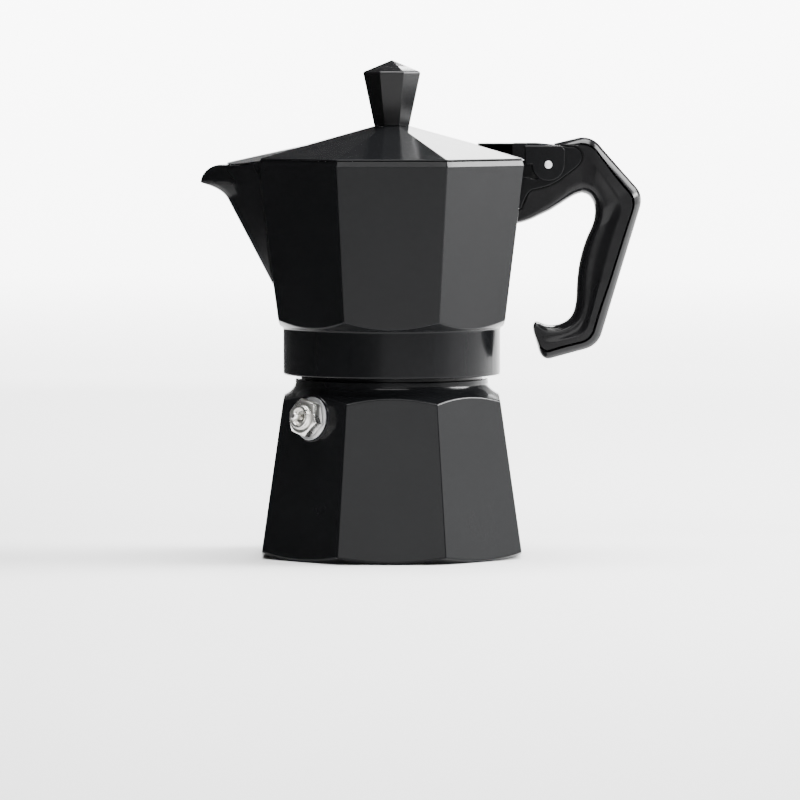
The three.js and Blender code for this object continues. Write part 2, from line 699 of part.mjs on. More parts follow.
// Everything on the upper side of a plane through a point, as a large block to cut with.
function above(point, normal) {
  const size = 300;
  const up = new THREE.Vector3(...normal).normalize();
  const turn = new THREE.Quaternion().setFromUnitVectors(new THREE.Vector3(0, 0, 1), up);
  const block = new THREE.BoxGeometry(size, size, size).translate(0, 0, size / 2);
  return solid(block.applyQuaternion(turn).translate(...point));
}

const lidFacet = lidCorner * FLAT;

// The beak that covers the spout: a shallow roof of three facets on a pointed plan.
function beak() {
  const end = lidFacet + BEAK_END;
  const rootZ = crownZ - (BEAK_ROOT / FLAT - LID_CROWN) * LID_SLOPE;
  const edge = (x) => lidFacet * Math.SQRT2 - x;
  const noseHalf = 3.2;
  const plan = polygon([
    [-BEAK_ROOT, -11],
    [-32.5, -edge(32.5)],
    [-end + 4.5, -edge(end - 4.5)],
    [-end, -noseHalf],
    [-end, noseHalf],
    [-end + 4.5, edge(end - 4.5)],
    [-32.5, edge(32.5)],
    [-BEAK_ROOT, 11],
  ]);
  const under = slab(polygon([
    [0, lidZ - 10],
    [-end - 5, lidZ - 10],
    [-end - 5, lidZ - SPOUT_DIP],
    [-lidFacet - 4.3, lidZ - SPOUT_DIP],
    [-lidFacet + 0.9, lidZ + 0.1],
    [0, lidZ + 0.1],
  ]), -60, 60);
  const roof = above([-BEAK_ROOT, 0, rootZ], [-BEAK_SLOPE, 0, 1]);
  const side = above([-BEAK_ROOT, -11, rootZ], [-BEAK_SIDE_SLOPE[0], -BEAK_SIDE_SLOPE[1], 1]);
  return plate(plan, lidZ - 5, crownZ)
    .subtract(roof)
    .subtract(side)
    .subtract(mirroredInY(side))
    .subtract(under);
}

// Hinge block: a web on the lid, two arms that carry on past it, and a cheek outside each arm.
function lidHinge() {
  const low = lidZ - pinZ;
  const arm = polygon([[-WEB_BACK, low], [-PIN_OUT, low], [-PIN_OUT, 0], [0, 0], [3.6, 3.6],
    [3.6, WEB_TOP - 0.7], [-3.3, WEB_TOP], [-WEB_BACK, WEB_TOP]]);
  const armOuter = cheekOuter - ARM_STEP;
  const cheek = new THREE.Shape();
  cheek.moveTo(-7.5, WEB_TOP - 0.7);
  cheek.lineTo(-7.5, 0);
  cheek.lineTo(-CHEEK_RADIUS, 0);
  cheek.absarc(0, 0, CHEEK_RADIUS, Math.PI, 2 * Math.PI, false);
  cheek.lineTo(CHEEK_RADIUS, 4.9);
  cheek.lineTo(CHEEK_RADIUS - 1.2, WEB_TOP - 0.7);
  const webSide = polygon([[-WEB_BACK, low], [-WEB_FRONT, low], [-WEB_FRONT, WEB_TOP], [-WEB_BACK, WEB_TOP]]);
  const web = slab(webSide, -armOuter, armOuter);
  const arms = bothSides(slab(arm, cheekInner, armOuter));
  const cheeks = bothSides(slab(cheek, cheekInner, cheekOuter));
  return atPin(web.add(arms).add(cheeks).subtract(pinHole()));
}

function lid() {
  const underRing = lidCorner - LID_RING;
  const outside = faceted([[0, lidZ], [lidCorner, lidZ], [lidCorner, lidZ + LID_EDGE], [LID_CROWN, crownZ],
    [0, crownZ]]);
  const inside = faceted([[0, lidZ - 5], [underRing, lidZ - 5], [underRing, lidZ],
    [LID_UNDER_CROWN, underCrownZ], [0, underCrownZ]]);
  const screwHole = disc(SCREW_RADIUS + RUNNING, lidZ, crownZ + 1, FINE);
  return outside.add(beak()).add(lidHinge()).subtract(inside).subtract(screwHole);
}

// ---------------------------------------------------------------- knob

const knobZ = crownZ + SEATED;

function knob() {
  const headZ = knobZ + KNOB_FLARE;
  const outside = faceted([[0, knobZ], [KNOB_FOOT, knobZ], [KNOB_HEAD, headZ], [0, headZ + KNOB_POINT]]);
  return outside.subtract(disc(INSERT_RADIUS + 0.05, knobZ - 1, knobZ + INSERT_LENGTH + 0.3, FINE));
}

const knobInsert = () =>
  ring(SCREW_RADIUS + 0.1, INSERT_RADIUS, knobZ + 0.1, knobZ + INSERT_LENGTH, FINE);

function knobWasher() {
  const top = underCrownZ - SEATED;
  return ring(SCREW_RADIUS + RUNNING, WASHER_RADIUS, top - WASHER_THICK, top, FINE);
}

function knobScrew() {
  const shoulder = underCrownZ - 2 * SEATED - WASHER_THICK;
  const low = shoulder - SCREW_HEAD_HEIGHT;
  const top = shoulder + SCREW_LENGTH;
  const screw = turned([[0, low], [SCREW_HEAD - 1, low], [SCREW_HEAD, low + 0.8], [SCREW_HEAD, shoulder],
    [SCREW_RADIUS, shoulder], [SCREW_RADIUS, top - 0.6], [SCREW_RADIUS - 0.6, top], [0, top]], FINE);
  const slot = 0.9;
  const depth = 1.1;
  return screw
    .subtract(box([-SCREW_HEAD * 0.6, -slot / 2, low - 1], [SCREW_HEAD * 0.6, slot / 2, low + depth]))
    .subtract(box([-slot / 2, -SCREW_HEAD * 0.6, low - 1], [slot / 2, SCREW_HEAD * 0.6, low + depth]));
}

// ---------------------------------------------------------------- hinge pin and handle

function hingePin() {
  const half = cheekOuter + 0.35;
  const edge = 0.25;
  const pin = turned([[0, -half], [PIN_RADIUS - edge, -half], [PIN_RADIUS, -half + edge],
    [PIN_RADIUS, half - edge], [PIN_RADIUS - edge, half], [0, half]], FINE);
  return atPin(pin.rotate([90, 0, 0]));
}

// Side outline of the handle about the pin: tongue, top, elbow, grip, hook and the arm's underside.
function handleShape() {
  const wallAt = (z) => chamberFacet(pinZ + z) - pinX + HANDLE_GAP;
  const shape = new THREE.Shape();
  shape.moveTo(wallAt(-19.2), -19.2);
  shape.lineTo(wallAt(-14.8), -14.8);
  shape.lineTo(-8.6, -13.9);
  shape.lineTo(-8.0, -10.5);
  shape.lineTo(-5.2, -7.8);
  shape.lineTo(-5.2, -2.6);
  shape.absarc(0, 0, 4.9, THREE.MathUtils.degToRad(206), THREE.MathUtils.degToRad(80), true);
  shape.lineTo(2.2, 6.7);
  shape.lineTo(10.4, 8.6);
  shape.quadraticCurveTo(14.6, 9.0, 17.2, 5.4);
  shape.lineTo(28.4, -7.3);
  shape.quadraticCurveTo(30.9, -10.2, 29.4, -14.6);
  shape.lineTo(17.6, -53.6);
  shape.quadraticCurveTo(16.4, -58.3, 12.0, -59.5);
  shape.lineTo(0.6, -62.6);
  shape.quadraticCurveTo(-1.8, -62.9, -2.8, -60.0);
  shape.lineTo(-4.9, -53.0);
  shape.quadraticCurveTo(-5.4, -50.0, -2.6, -50.8);
  shape.bezierCurveTo(0.6, -52.6, 2.6, -52.4, 5.4, -50.8);
  shape.bezierCurveTo(8.4, -49.0, 9.3, -46.5, 9.3, -41.6);
  shape.bezierCurveTo(9.4, -32.0, 11.4, -25.6, 14.3, -20.0);
  shape.bezierCurveTo(16.8, -15.4, 15.6, -10.4, 11.8, -9.4);
  shape.bezierCurveTo(9.2, -9.0, 5.2, -12.4, 0.8, -14.9);
  shape.quadraticCurveTo(-4.6, -18.0, wallAt(-19.2), -19.2);
  return shape;
}

function handle() {
  const grip = slab(handleShape(), -HANDLE_HALF, HANDLE_HALF, HANDLE_BEVEL);
  const beyond = HANDLE_HALF + 5;
  const narrowing = plate(polygon([[-20, headHalf], [9.8, headHalf], [20, HANDLE_HALF], [20, beyond],
    [-20, beyond]]), -22, 20);
  const pocket = slab(earShape(HANDLE_GAP), TONGUE_HALF, beyond);
  const opening = slab(polygon([[-20, -14.6], [-8.2, -14.6], [-6.2, -9.6], [-3, -5], [-3, 2], [0, 12],
    [-20, 12]]), TONGUE_HALF, beyond);
  return atPin(grip
    .subtract(bothSides(narrowing))
    .subtract(bothSides(pocket.add(opening)))
    .subtract(pinHole()));
}

// ---------------------------------------------------------------- assembly

const mokaPot = new THREE.Group();
mokaPot.add(
  mesh("boiler", boiler(), blackPaint()),
  mesh("valve_body", valveBody(), nickel()),
  mesh("valve_washer", valveWasher(), castAluminium()),
  mesh("valve_seat", valveSeat(), brass()),
  mesh("valve_spring", valveSpring(), steel()),
  mesh("valve_piston", valvePiston(), nickel()),
  mesh("funnel", funnel(), sheetAluminium()),
  mesh("funnel_strainer", funnelStrainer(), sheetAluminium()),
  mesh("gasket", gasket(), silicone()),
  mesh("filter_plate", filterPlate(), sheetAluminium()),
  mesh("upper_chamber", upperChamber(), blackPaint()),
  mesh("lid", lid(), blackPaint()),
  mesh("knob", knob(), blackPlastic()),
  mesh("knob_insert", knobInsert(), brass()),
  mesh("knob_screw", knobScrew(), steel()),
  mesh("knob_washer", knobWasher(), castAluminium()),
  mesh("hinge_pin", hingePin(), steel()),
  mesh("handle", handle(), blackPlastic()),
);

export default mokaPot;
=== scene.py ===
"""A stove-top moka pot on a pale floor: visual meshes, materials, light and camera over the CAD frame."""

import json
import math

import bmesh
import bpy
from mathutils import Matrix, Vector


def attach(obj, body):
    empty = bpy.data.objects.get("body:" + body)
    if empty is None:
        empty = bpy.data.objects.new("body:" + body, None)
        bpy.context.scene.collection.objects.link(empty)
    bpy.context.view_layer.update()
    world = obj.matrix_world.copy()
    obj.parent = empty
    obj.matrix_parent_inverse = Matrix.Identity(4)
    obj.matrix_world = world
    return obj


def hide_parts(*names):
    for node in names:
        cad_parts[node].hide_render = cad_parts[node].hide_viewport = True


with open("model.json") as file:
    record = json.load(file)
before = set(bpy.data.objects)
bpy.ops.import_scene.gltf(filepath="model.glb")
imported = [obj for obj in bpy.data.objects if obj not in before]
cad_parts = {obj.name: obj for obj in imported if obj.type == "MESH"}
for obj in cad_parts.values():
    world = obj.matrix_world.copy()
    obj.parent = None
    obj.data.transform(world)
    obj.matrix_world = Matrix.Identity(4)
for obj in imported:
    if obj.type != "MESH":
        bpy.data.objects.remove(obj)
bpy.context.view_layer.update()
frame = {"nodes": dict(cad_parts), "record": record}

MM = 0.001

# ---------------------------------------------------------------- sizes, millimetres unless named otherwise

SIDES = 8
FLAT = math.cos(math.pi / SIDES)  # facet distance over corner radius
EDGE_SHARE = 0.02  # rounding of the upright edges, as a share of the facet's distance
SOFT_STEPS = 4  # points round each softened corner
MERGE = 0.002  # points nearer than this become one

# Boiler
BOILER_CORNER = 45.5  # corner radius at the floor
BOILER_DRAFT = 0.1532  # fall of the corner radius per millimetre of height
BOILER_FLOOR = 3.2
BOILER_WALL = 3.0
FOOT_RADIUS = 40.5
FOOT_SLOPE = 0.49
FOOT_RECESS = 0.6
SHOULDER_Z = 52.4
SHOULDER_SLOPE = 0.57
RING_RADIUS = 31.1
RING_FOOT = 55.8
RING_TOP = 57.4
NECK_RADIUS = 29.3
NECK_BORE = 26.5
NECK_TOP = 69.0
THREAD_DEPTH = 1.2
THREAD_PITCH = 3.0
THREAD_TURNS = 2.2
THREAD_START = 60.2

# Upper chamber
COLLAR_RADIUS = 35.0
COLLAR_Z = 58.65
COLLAR_TOP = 73.6
COLLAR_BORE = 30.9
CHAMBER_CORNER = 39.0  # corner radius at the collar's top
CHAMBER_DRAFT = 0.1303  # growth of the corner radius per millimetre of height
CHAMBER_WALL = 2.9
CHAMFER_SLOPE = 0.7045  # rise over run of the cone between collar and facets
RIM_Z = 128.0
RIM_EDGE = 1.8  # height of the rim's chamfer
RIM_CHAMFER = 0.8
CHAMBER_FLOOR = 79.5
COLUMN_FOOT = 9.0
COLUMN_TOP = 5.6
COLUMN_TOP_Z = 118.5
OUTLET_RADIUS = 2.0
OUTLET_Z = 110.5

# Spout
RIDGE_Z = 86.0  # where the ridge leaves the facet
BEND_Z = 115.1  # where it starts to curl out
SPOUT_LEAN = 0.5223
SPOUT_REACH = 9.2
SPOUT_CURL = 5.3
SPOUT_BEND = (1.9, 3.6)
SPOUT_INSET = 3.25  # from the outer ridge to the channel's
SPOUT_DIP = 1.75
KEEL = 0.07  # width of the flare at the ridge, as a tangent seen from the axis
RIDGE_SOFT = 0.022  # rounding of the ridge, as the tangent of half its angle seen from the axis

SPOUT_MARGIN = 0.008  # angle kept free between the spout's side and the facet's corner

# Rows of the upper chamber's mesh
WALL_ROWS = 26
LOW_ROWS = 10  # of those, the rows below the ridge's bend
INNER_ROWS = 14
LIP_ROWS = 5

# Lid
LID_Z = 128.1
LID_CORNER = 45.588
LID_EDGE = 0.4
LID_SLOPE = 0.2568  # fall over distance along a corner
LID_RING = 3.0
LID_CROWN = 6.25  # flat under the knob
UNDER_CROWN = 7.2
UNDER_CROWN_Z = 137.19
UNDER_EDGE = 1.5  # width of the rim that rests on the chamber
ROOF_ROWS = 8
BEAK_ROOT = 27.6  # where the beak leaves the roof
BEAK_ROOT_HALF = 11.0
BEAK_SLOPE = 0.22
BEAK_SIDE_SLOPE = (0.2765, 0.1262)  # along X and along Y
BEAK_PLAN = ((-27.6, 11.0), (-32.5, 27.06), (-48.5, 11.05), (-53.02, 3.2), (-53.02, 0.0))

# Hinge, about the pin
PIN_X = 50.26
PIN_Z = 126.35
PIN_RADIUS = 1.25
PIN_HALF = 9.05
EAR = (3.8, 6.2)  # the bracket's ears, the lid's arms and its cheeks: from and to, along Y
ARM = (6.5, 7.4)
CHEEK = (6.5, 8.7)
CHEEK_RADIUS = 5.3
WEB_TOP = 6.8

# Handle
TONGUE_HALF = 3.5
EAR_GAP = 0.5  # clearance round the bracket's ears
STRETCH_ROWS = 12
EDGE_START = 0.62  # where the bevelled edge starts, as a share of the half width
EDGE_CROWN = 0.07  # bulge of the bevelled edge, as a share of its width
CREASE_WIDTH = 0.8
CREASE_DEPTH = 1.3  # the line between the bevelled edge and the flat
FLAT_SHARE = 0.42  # of the width between the edges, the rest is hollowed

# Knob
KNOB_Z = 138.65
KNOB_FOOT = 6.1
KNOB_HEAD = 10.07
KNOB_HEAD_Z = 156.0
KNOB_POINT_Z = 159.85

# Valve: distances along its axis from the facet
VALVE_AXIS = Vector((-0.70013, -0.70013, 0.14014))
VALVE_POINT = Vector((-25.16, -25.16, 45.6))
VALVE_HEX = 5.5  # half of the width across its flats

# Stage, metres and radiance
SWEEP_HALF = 5.0
SWEEP_FRONT = -6.0
SWEEP_WALL = 4.0
SWEEP_TOP = 4.0
SWEEP_BEND = 1.6
BACK_GLOW = 9.0
GLOW_DEPTH = (0.1, 3.4)  # the glow grows between these distances behind the pot
GLOW_TOP = (0.35, 0.65)  # and fades out between these heights
WORLD_STRENGTH = 0.2
CAMERA_AT = (0.00265, -2.130, 0.1687)
CAMERA_TARGET = (0.00265, 0, 0.0502)
CAMERA_LENS = 297.3


# ---------------------------------------------------------------- curves and skins

def bezier(points, share):
    """A point on the Bezier curve with these control points."""
    while len(points) > 1:
        points = [a + (b - a) * share for a, b in zip(points, points[1:])]
    return points[0]


def curve(*controls, steps=8):
    """Points along a Bezier curve, its first point left out."""
    controls = [Vector(c) for c in controls]
    return [bezier(controls, i / steps) for i in range(1, steps + 1)]


def arc(centre, radius, start, end, steps=12):
    """Points round a circle from one angle to another, in degrees."""
    turn = [math.radians(start + (end - start) * i / steps) for i in range(steps + 1)]
    return [Vector((centre[0] + radius * math.cos(a), centre[1] + radius * math.sin(a))) for a in turn]


def softened(points, setbacks, steps=SOFT_STEPS):
    """The polyline with its corners rounded. A setback of None leaves a corner as one point."""
    points = [Vector(p) for p in points]
    result = [points[0]]
    for i in range(1, len(points) - 1):
        before, corner, after = points[i - 1:i + 2]
        if setbacks[i] is None:
            result.append(corner)
            continue
        back = min(setbacks[i], 0.45 * (corner - before).length)
        forth = min(setbacks[i], 0.45 * (after - corner).length)
        start = corner + (before - corner).normalized() * back
        end = corner + (after - corner).normalized() * forth
        result += [bezier([start, corner, end], k / steps) for k in range(steps + 1)]
    return result + [points[-1]]


def resampled(points, count):
    """That many points spread evenly along the polyline."""
    points = [Vector(p) for p in points]
    lengths = [(b - a).length for a, b in zip(points, points[1:])]
    total = sum(lengths)
    result = []
    for i in range(count):
        wanted = total * i / (count - 1)
        k = 0
        while k < len(lengths) - 1 and wanted > lengths[k]:
            wanted -= lengths[k]
            k += 1
        share = wanted / lengths[k] if lengths[k] > 1e-9 else 0.0
        result.append(points[k].lerp(points[k + 1], min(share, 1.0)))
    return result


def skin(target, columns, closed=True):
    """Quads between neighbouring columns of points, added to a bmesh."""
    rows = [[target.verts.new(Vector(p) * MM) for p in column] for column in columns]
    pairs = list(zip(rows, rows[1:] + rows[:1])) if closed else list(zip(rows, rows[1:]))
    for left, right in pairs:
        for i in range(len(left) - 1):
            target.faces.new((left[i], right[i], right[i + 1], left[i + 1]))
    return rows


def revolved(profile_at, angles):
    """A closed skin from a profile of (radius, height) points at each angle round +Z."""
    target = bmesh.new()
    columns = []
    for angle in angles:
        c, s = math.cos(angle), math.sin(angle)
        columns.append([(p[0] * c, p[0] * s, p[1]) for p in profile_at(angle)])
    skin(target, columns)
    return target


def inset(outline, distance):
    """A closed 2D outline, anticlockwise, moved inwards."""
    result = []
    count = len(outline)
    for i in range(count):
        before, here, after = outline[i - 1], outline[i], outline[(i + 1) % count]
        first = (here - before).normalized()
        second = (after - here).normalized()
        normal = Vector((-first.y - second.y, first.x + second.x))
        length = normal.length
        if length < 1e-6:
            result.append(here.copy())
            continue
        normal /= length
        share = max(0.4, normal.dot(Vector((-first.y, first.x))))
        result.append(here + normal * distance / share)
    return result


def slab(outline, low, high, edge, steps=4):
    """A plate with rounded edges: an (x, z) outline about the pin, from low to high along Y."""
    outline = [Vector(p) for p in outline]
    area = sum(a.x * b.y - b.x * a.y for a, b in zip(outline, outline[1:] + outline[:1]))
    if area < 0:
        outline.reverse()
    levels = []
    for i in range(steps + 1):
        turn = math.pi / 2 * i / steps
        levels.append((low + edge * (1 - math.sin(turn)), edge * (1 - math.cos(turn))))
    levels.sort()
    levels += [(low + high - y, depth) for y, depth in reversed(levels)]
    target = bmesh.new()
    rings = []
    for y, depth in levels:
        ring = inset(outline, depth)
        rings.append([(PIN_X + p.x, y, PIN_Z + p.y) for p in ring])
    columns = [[ring[i] for ring in rings] for i in range(len(outline))]
    rows = skin(target, columns)
    target.faces.new([row[0] for row in rows])
    target.faces.new([row[-1] for row in reversed(rows)])
    return target


def both_sides(outline, low, high, edge):
    """The same plate on both sides of the middle."""
    return [slab(outline, low, high, edge), slab(outline, -high, -low, edge)]


def joined(name, parts):
    """One mesh object from several bmeshes, shaded smooth."""
    whole = bmesh.new()
    for part in parts:
        bmesh.ops.remove_doubles(part, verts=part.verts, dist=MERGE * MM)
        bmesh.ops.recalc_face_normals(part, faces=part.faces)
        made = bpy.data.meshes.new(name)
        part.to_mesh(made)
        part.free()
        whole.from_mesh(made)
        bpy.data.meshes.remove(made)
    data = bpy.data.meshes.new(name)
    for face in whole.faces:
        face.smooth = True
    whole.to_mesh(data)
    whole.free()
    piece = bpy.data.objects.new(name, data)
    bpy.context.scene.collection.objects.link(piece)
    return piece


def shaded(piece, angle=50):
    """Marks edges sharper than the angle and weights the normals by face area."""
    data = piece.data
    target = bmesh.new()
    target.from_mesh(data)
    limit = math.radians(angle)
    for edge in target.edges:
        edge.smooth = len(edge.link_faces) != 2 or edge.calc_face_angle(0.0) < limit
    target.to_mesh(data)
    target.free()
    weighted = piece.modifiers.new("weighted", "WEIGHTED_NORMAL")
    weighted.keep_sharp = True
    weighted.weight = 100
    return piece


def cut(piece, cutters):
    """Subtracts closed bodies from a piece and applies the result."""
    for cutter in cutters:
        modifier = piece.modifiers.new("cut", "BOOLEAN")
        modifier.operation = "DIFFERENCE"
        modifier.solver = "MANIFOLD"
        modifier.object = cutter
    bpy.context.view_layer.update()
    evaluated = piece.evaluated_get(bpy.context.evaluated_depsgraph_get())
    data = bpy.data.meshes.new_from_object(evaluated)
    piece.modifiers.clear()
    piece.data = data
    for cutter in cutters:
        bpy.data.objects.remove(cutter)
    return piece


def tube(start, end, radius, count=32):
    """A plain closed cylinder between two points, for cutting."""
    start, end = Vector(start), Vector(end)
    turn = Vector((0, 0, 1)).rotation_difference(end - start)
    target = bmesh.new()
    columns = []
    for i in range(count):
        a = 2 * math.pi * i / count
        spoke = turn @ Vector((radius * math.cos(a), radius * math.sin(a), 0))
        columns.append([start, start + spoke, end + spoke, end])
    skin(target, columns)
    return target


# ---------------------------------------------------------------- octagons

def polygon_share(angle, sides, rounding):
    """Radius of a polygon with rounded corners at an angle, for a facet distance of 1."""
    step = 2 * math.pi / sides
    local = (angle + step / 2) % step - step / 2
    corner = step / 2
    centre = (1 - rounding) / math.cos(corner)
    off = corner - abs(local)
    if math.atan((1 - rounding) * math.tan(corner)) >= abs(local):
        return 1 / math.cos(local)
    return centre * math.cos(off) + math.sqrt(max(rounding ** 2 - (centre * math.sin(off)) ** 2, 0))


def polygon_angles(sides, rounding, across, extra=()):
    """Angles of the columns round a polygon: several at each corner, the rest spread over the facets."""
    step = 2 * math.pi / sides
    edge = step / 2 - math.atan((1 - rounding) * math.tan(step / 2))
    result = []
    for k in range(sides):
        middle = k * step
        reach = step / 2 - edge
        result += [middle - reach + 2 * reach * i / across for i in range(across + 1)]
        result += [middle + step / 2 + edge * share for share in (-0.66, -0.33, 0, 0.33, 0.66)]
    result += list(extra)
    full = 2 * math.pi
    return sorted({round(a % full, 6) for a in result})


def boiler_radius(z, share):
    return share * FLAT * (BOILER_CORNER - BOILER_DRAFT * z)


def chamber_facet(z):
    return FLAT * (CHAMBER_CORNER + CHAMBER_DRAFT * (z - COLLAR_TOP))


def thread(root, start, outward):
    """A ridge on a helix round +Z, fading out at both ends."""
    steps = round(THREAD_TURNS * 48)
    columns = []
    for i in range(steps + 1):
        along = i / steps
        fade = min(1, 8 * along + 0.1, 8 * (1 - along) + 0.1)
        angle = 2 * math.pi * THREAD_TURNS * along
        z = start + THREAD_PITCH * THREAD_TURNS * along
        deep = root - outward * 0.5
        crest = root + outward * THREAD_DEPTH * fade
        ring = [(deep, z - 0.75), (root, z - 0.75), (crest, z - 0.3), (crest, z + 0.3), (root, z + 0.75),
                (deep, z + 0.75), (deep, z - 0.75)]
        columns.append([(r * math.cos(angle), r * math.sin(angle), h) for r, h in ring])
    target = bmesh.new()
    rows = skin(target, columns, closed=False)
    target.faces.new(rows[0][:-1])
    target.faces.new(list(reversed(rows[-1][:-1])))
    return target


def on_valve_axis(target):
    """Moves a bmesh built about +Z on to the valve's axis."""
    turn = Vector((0, 0, 1)).rotation_difference(VALVE_AXIS).to_matrix().to_4x4()
    place = Matrix.Translation(VALVE_POINT * MM) @ turn
    bmesh.ops.transform(target, matrix=place, verts=target.verts)
    return target


# ---------------------------------------------------------------- boiler

def boiler_profile(angle):
    share = polygon_share(angle, SIDES, EDGE_SHARE)
    width = share * FLAT * BOILER_CORNER
    draft = share * FLAT * BOILER_DRAFT
    foot_z = (width - FOOT_RADIUS) / (1 / FOOT_SLOPE + draft)
    shoulder_radius = FLAT * (BOILER_CORNER - BOILER_DRAFT * SHOULDER_Z)
    scallop_z = (shoulder_radius + SHOULDER_Z / SHOULDER_SLOPE - width) / (1 / SHOULDER_SLOPE - draft)
    corner = (boiler_radius(scallop_z, share), scallop_z)
    neck_foot = curve((shoulder_radius, SHOULDER_Z), (RING_RADIUS + 0.3, SHOULDER_Z + 1.6),
                      (RING_RADIUS, RING_FOOT))
    shoulder = resampled([corner, (shoulder_radius, SHOULDER_Z), *neck_foot], 12)
    inner = FLAT * (BOILER_CORNER - BOILER_DRAFT * BOILER_FLOOR) - BOILER_WALL
    inner_top = shoulder_radius - BOILER_WALL + 1.2
    points = [
        (0, FOOT_RECESS), (36.4, FOOT_RECESS), (37.4, 0), (FOOT_RADIUS, 0),
        (boiler_radius(foot_z, share), foot_z), *shoulder,
        (RING_RADIUS, RING_TOP), (NECK_RADIUS, RING_TOP), (NECK_RADIUS, NECK_TOP), (NECK_BORE, NECK_TOP),
        (NECK_BORE, RING_FOOT), (inner_top, SHOULDER_Z - BOILER_WALL), (inner, BOILER_FLOOR),
        (0, BOILER_FLOOR),
    ]
    setbacks = [None, 0.3, 0.3, 0.35, 0.5, 0.6] + [None] * (len(shoulder) - 2)
    setbacks += [0.15, 0.35, 0.1, 0.5, 0.5, 1.5, 2.0, 3.0, None]
    return softened(points, setbacks)


def boiler():
    angles = polygon_angles(SIDES, EDGE_SHARE, 14)
    body = revolved(boiler_profile, angles)
    ring = [i * math.tau / 64 for i in range(64)]
    pad = revolved(lambda a: softened([(0, -2), (8.4, -2), (7.6, 0.0), (7.1, 0.5), (0, 0.5)],
                                      [None, 0.1, 0.8, 0.2, None]), ring)
    piece = joined("pot_boiler", [body, on_valve_axis(pad), thread(NECK_RADIUS, THREAD_START, 1)])
    return shaded(piece)


# ---------------------------------------------------------------- upper chamber

BEND_X = chamber_facet(RIDGE_Z) + SPOUT_LEAN * (BEND_Z - RIDGE_Z)
TIP_X = BEND_X + SPOUT_REACH
TIP_Z = BEND_Z + SPOUT_CURL
RIDGE_CURVE = [Vector((BEND_X, BEND_Z)), Vector((BEND_X + SPOUT_BEND[0], BEND_Z + SPOUT_BEND[1])),
               Vector((TIP_X, TIP_Z))]
HALF_FACET = (CHAMBER_CORNER + CHAMBER_DRAFT * (RIM_Z - COLLAR_TOP)) * math.sin(math.pi / SIDES)
CREASE_RISE = HALF_FACET / (RIM_Z - RIDGE_Z)


def ridge_out(z):
    """How far the spout's ridge is from the axis at a height."""
    if z <= BEND_Z:
        return chamber_facet(RIDGE_Z) + SPOUT_LEAN * (z - RIDGE_Z)
    if z >= TIP_Z:
        return TIP_X
    low, high = 0.0, 1.0
    for _ in range(30):
        middle = (low + high) / 2
        if bezier(RIDGE_CURVE, middle).y < z:
            low = middle
        else:
            high = middle
    return bezier(RIDGE_CURVE, low).x


def spout_side(z, tangent, moved_in=0.0):
    """How far out along the column's radial plane the spout's side is, along X.

    The ridge's bend flares the side only near the ridge, so the beak is narrow at its tip."""
    straight = chamber_facet(RIDGE_Z) + SPOUT_LEAN * (z - RIDGE_Z)
    keel = straight + (ridge_out(z) - straight) * math.exp(-(tangent / KEEL) ** 2)
    slope = CREASE_RISE * (z - RIDGE_Z) / max(keel - chamber_facet(z), 1e-6)
    return slope * (keel - moved_in) / (tangent + slope)


LIP = [Vector((chamber_facet(RIM_Z) - 1.5, RIM_Z)), Vector((chamber_facet(RIM_Z) + 4.0, RIM_Z - SPOUT_DIP)),
       Vector((TIP_X - 6.5, RIM_Z - SPOUT_DIP - 0.1)),
       *curve((TIP_X - 6.5, RIM_Z - SPOUT_DIP - 0.1), (TIP_X - 1.6, RIM_Z - SPOUT_DIP - 0.5),
              (TIP_X, TIP_Z + 0.2))]


def lip_height(out):
    """Height of the spout's dipped rim at a distance from the axis along X."""
    for a, b in zip(LIP, LIP[1:]):
        if out <= b.x:
            return a.y + (b.y - a.y) * max(0.0, out - a.x) / max(b.x - a.x, 1e-6)
    return LIP[-1].y


def meet(high_side, low, high):
    """The height between two others where a falling difference passes zero."""
    for _ in range(40):
        middle = (low + high) / 2
        if high_side(middle) > 0:
            low = middle
        else:
            high = middle
    return low


def wall_heights(low, high):
    """Heights of the rows on the spout's side, closer together above the ridge's bend."""
    if low >= BEND_Z - 2 or high <= BEND_Z + 1:
        return [low + (high - low) * i / WALL_ROWS for i in range(WALL_ROWS + 1)]
    upper_rows = WALL_ROWS - LOW_ROWS
    lower = [low + (BEND_Z - low) * i / LOW_ROWS for i in range(LOW_ROWS)]
    return lower + [BEND_Z + (high - BEND_Z) * i / upper_rows for i in range(upper_rows + 1)]


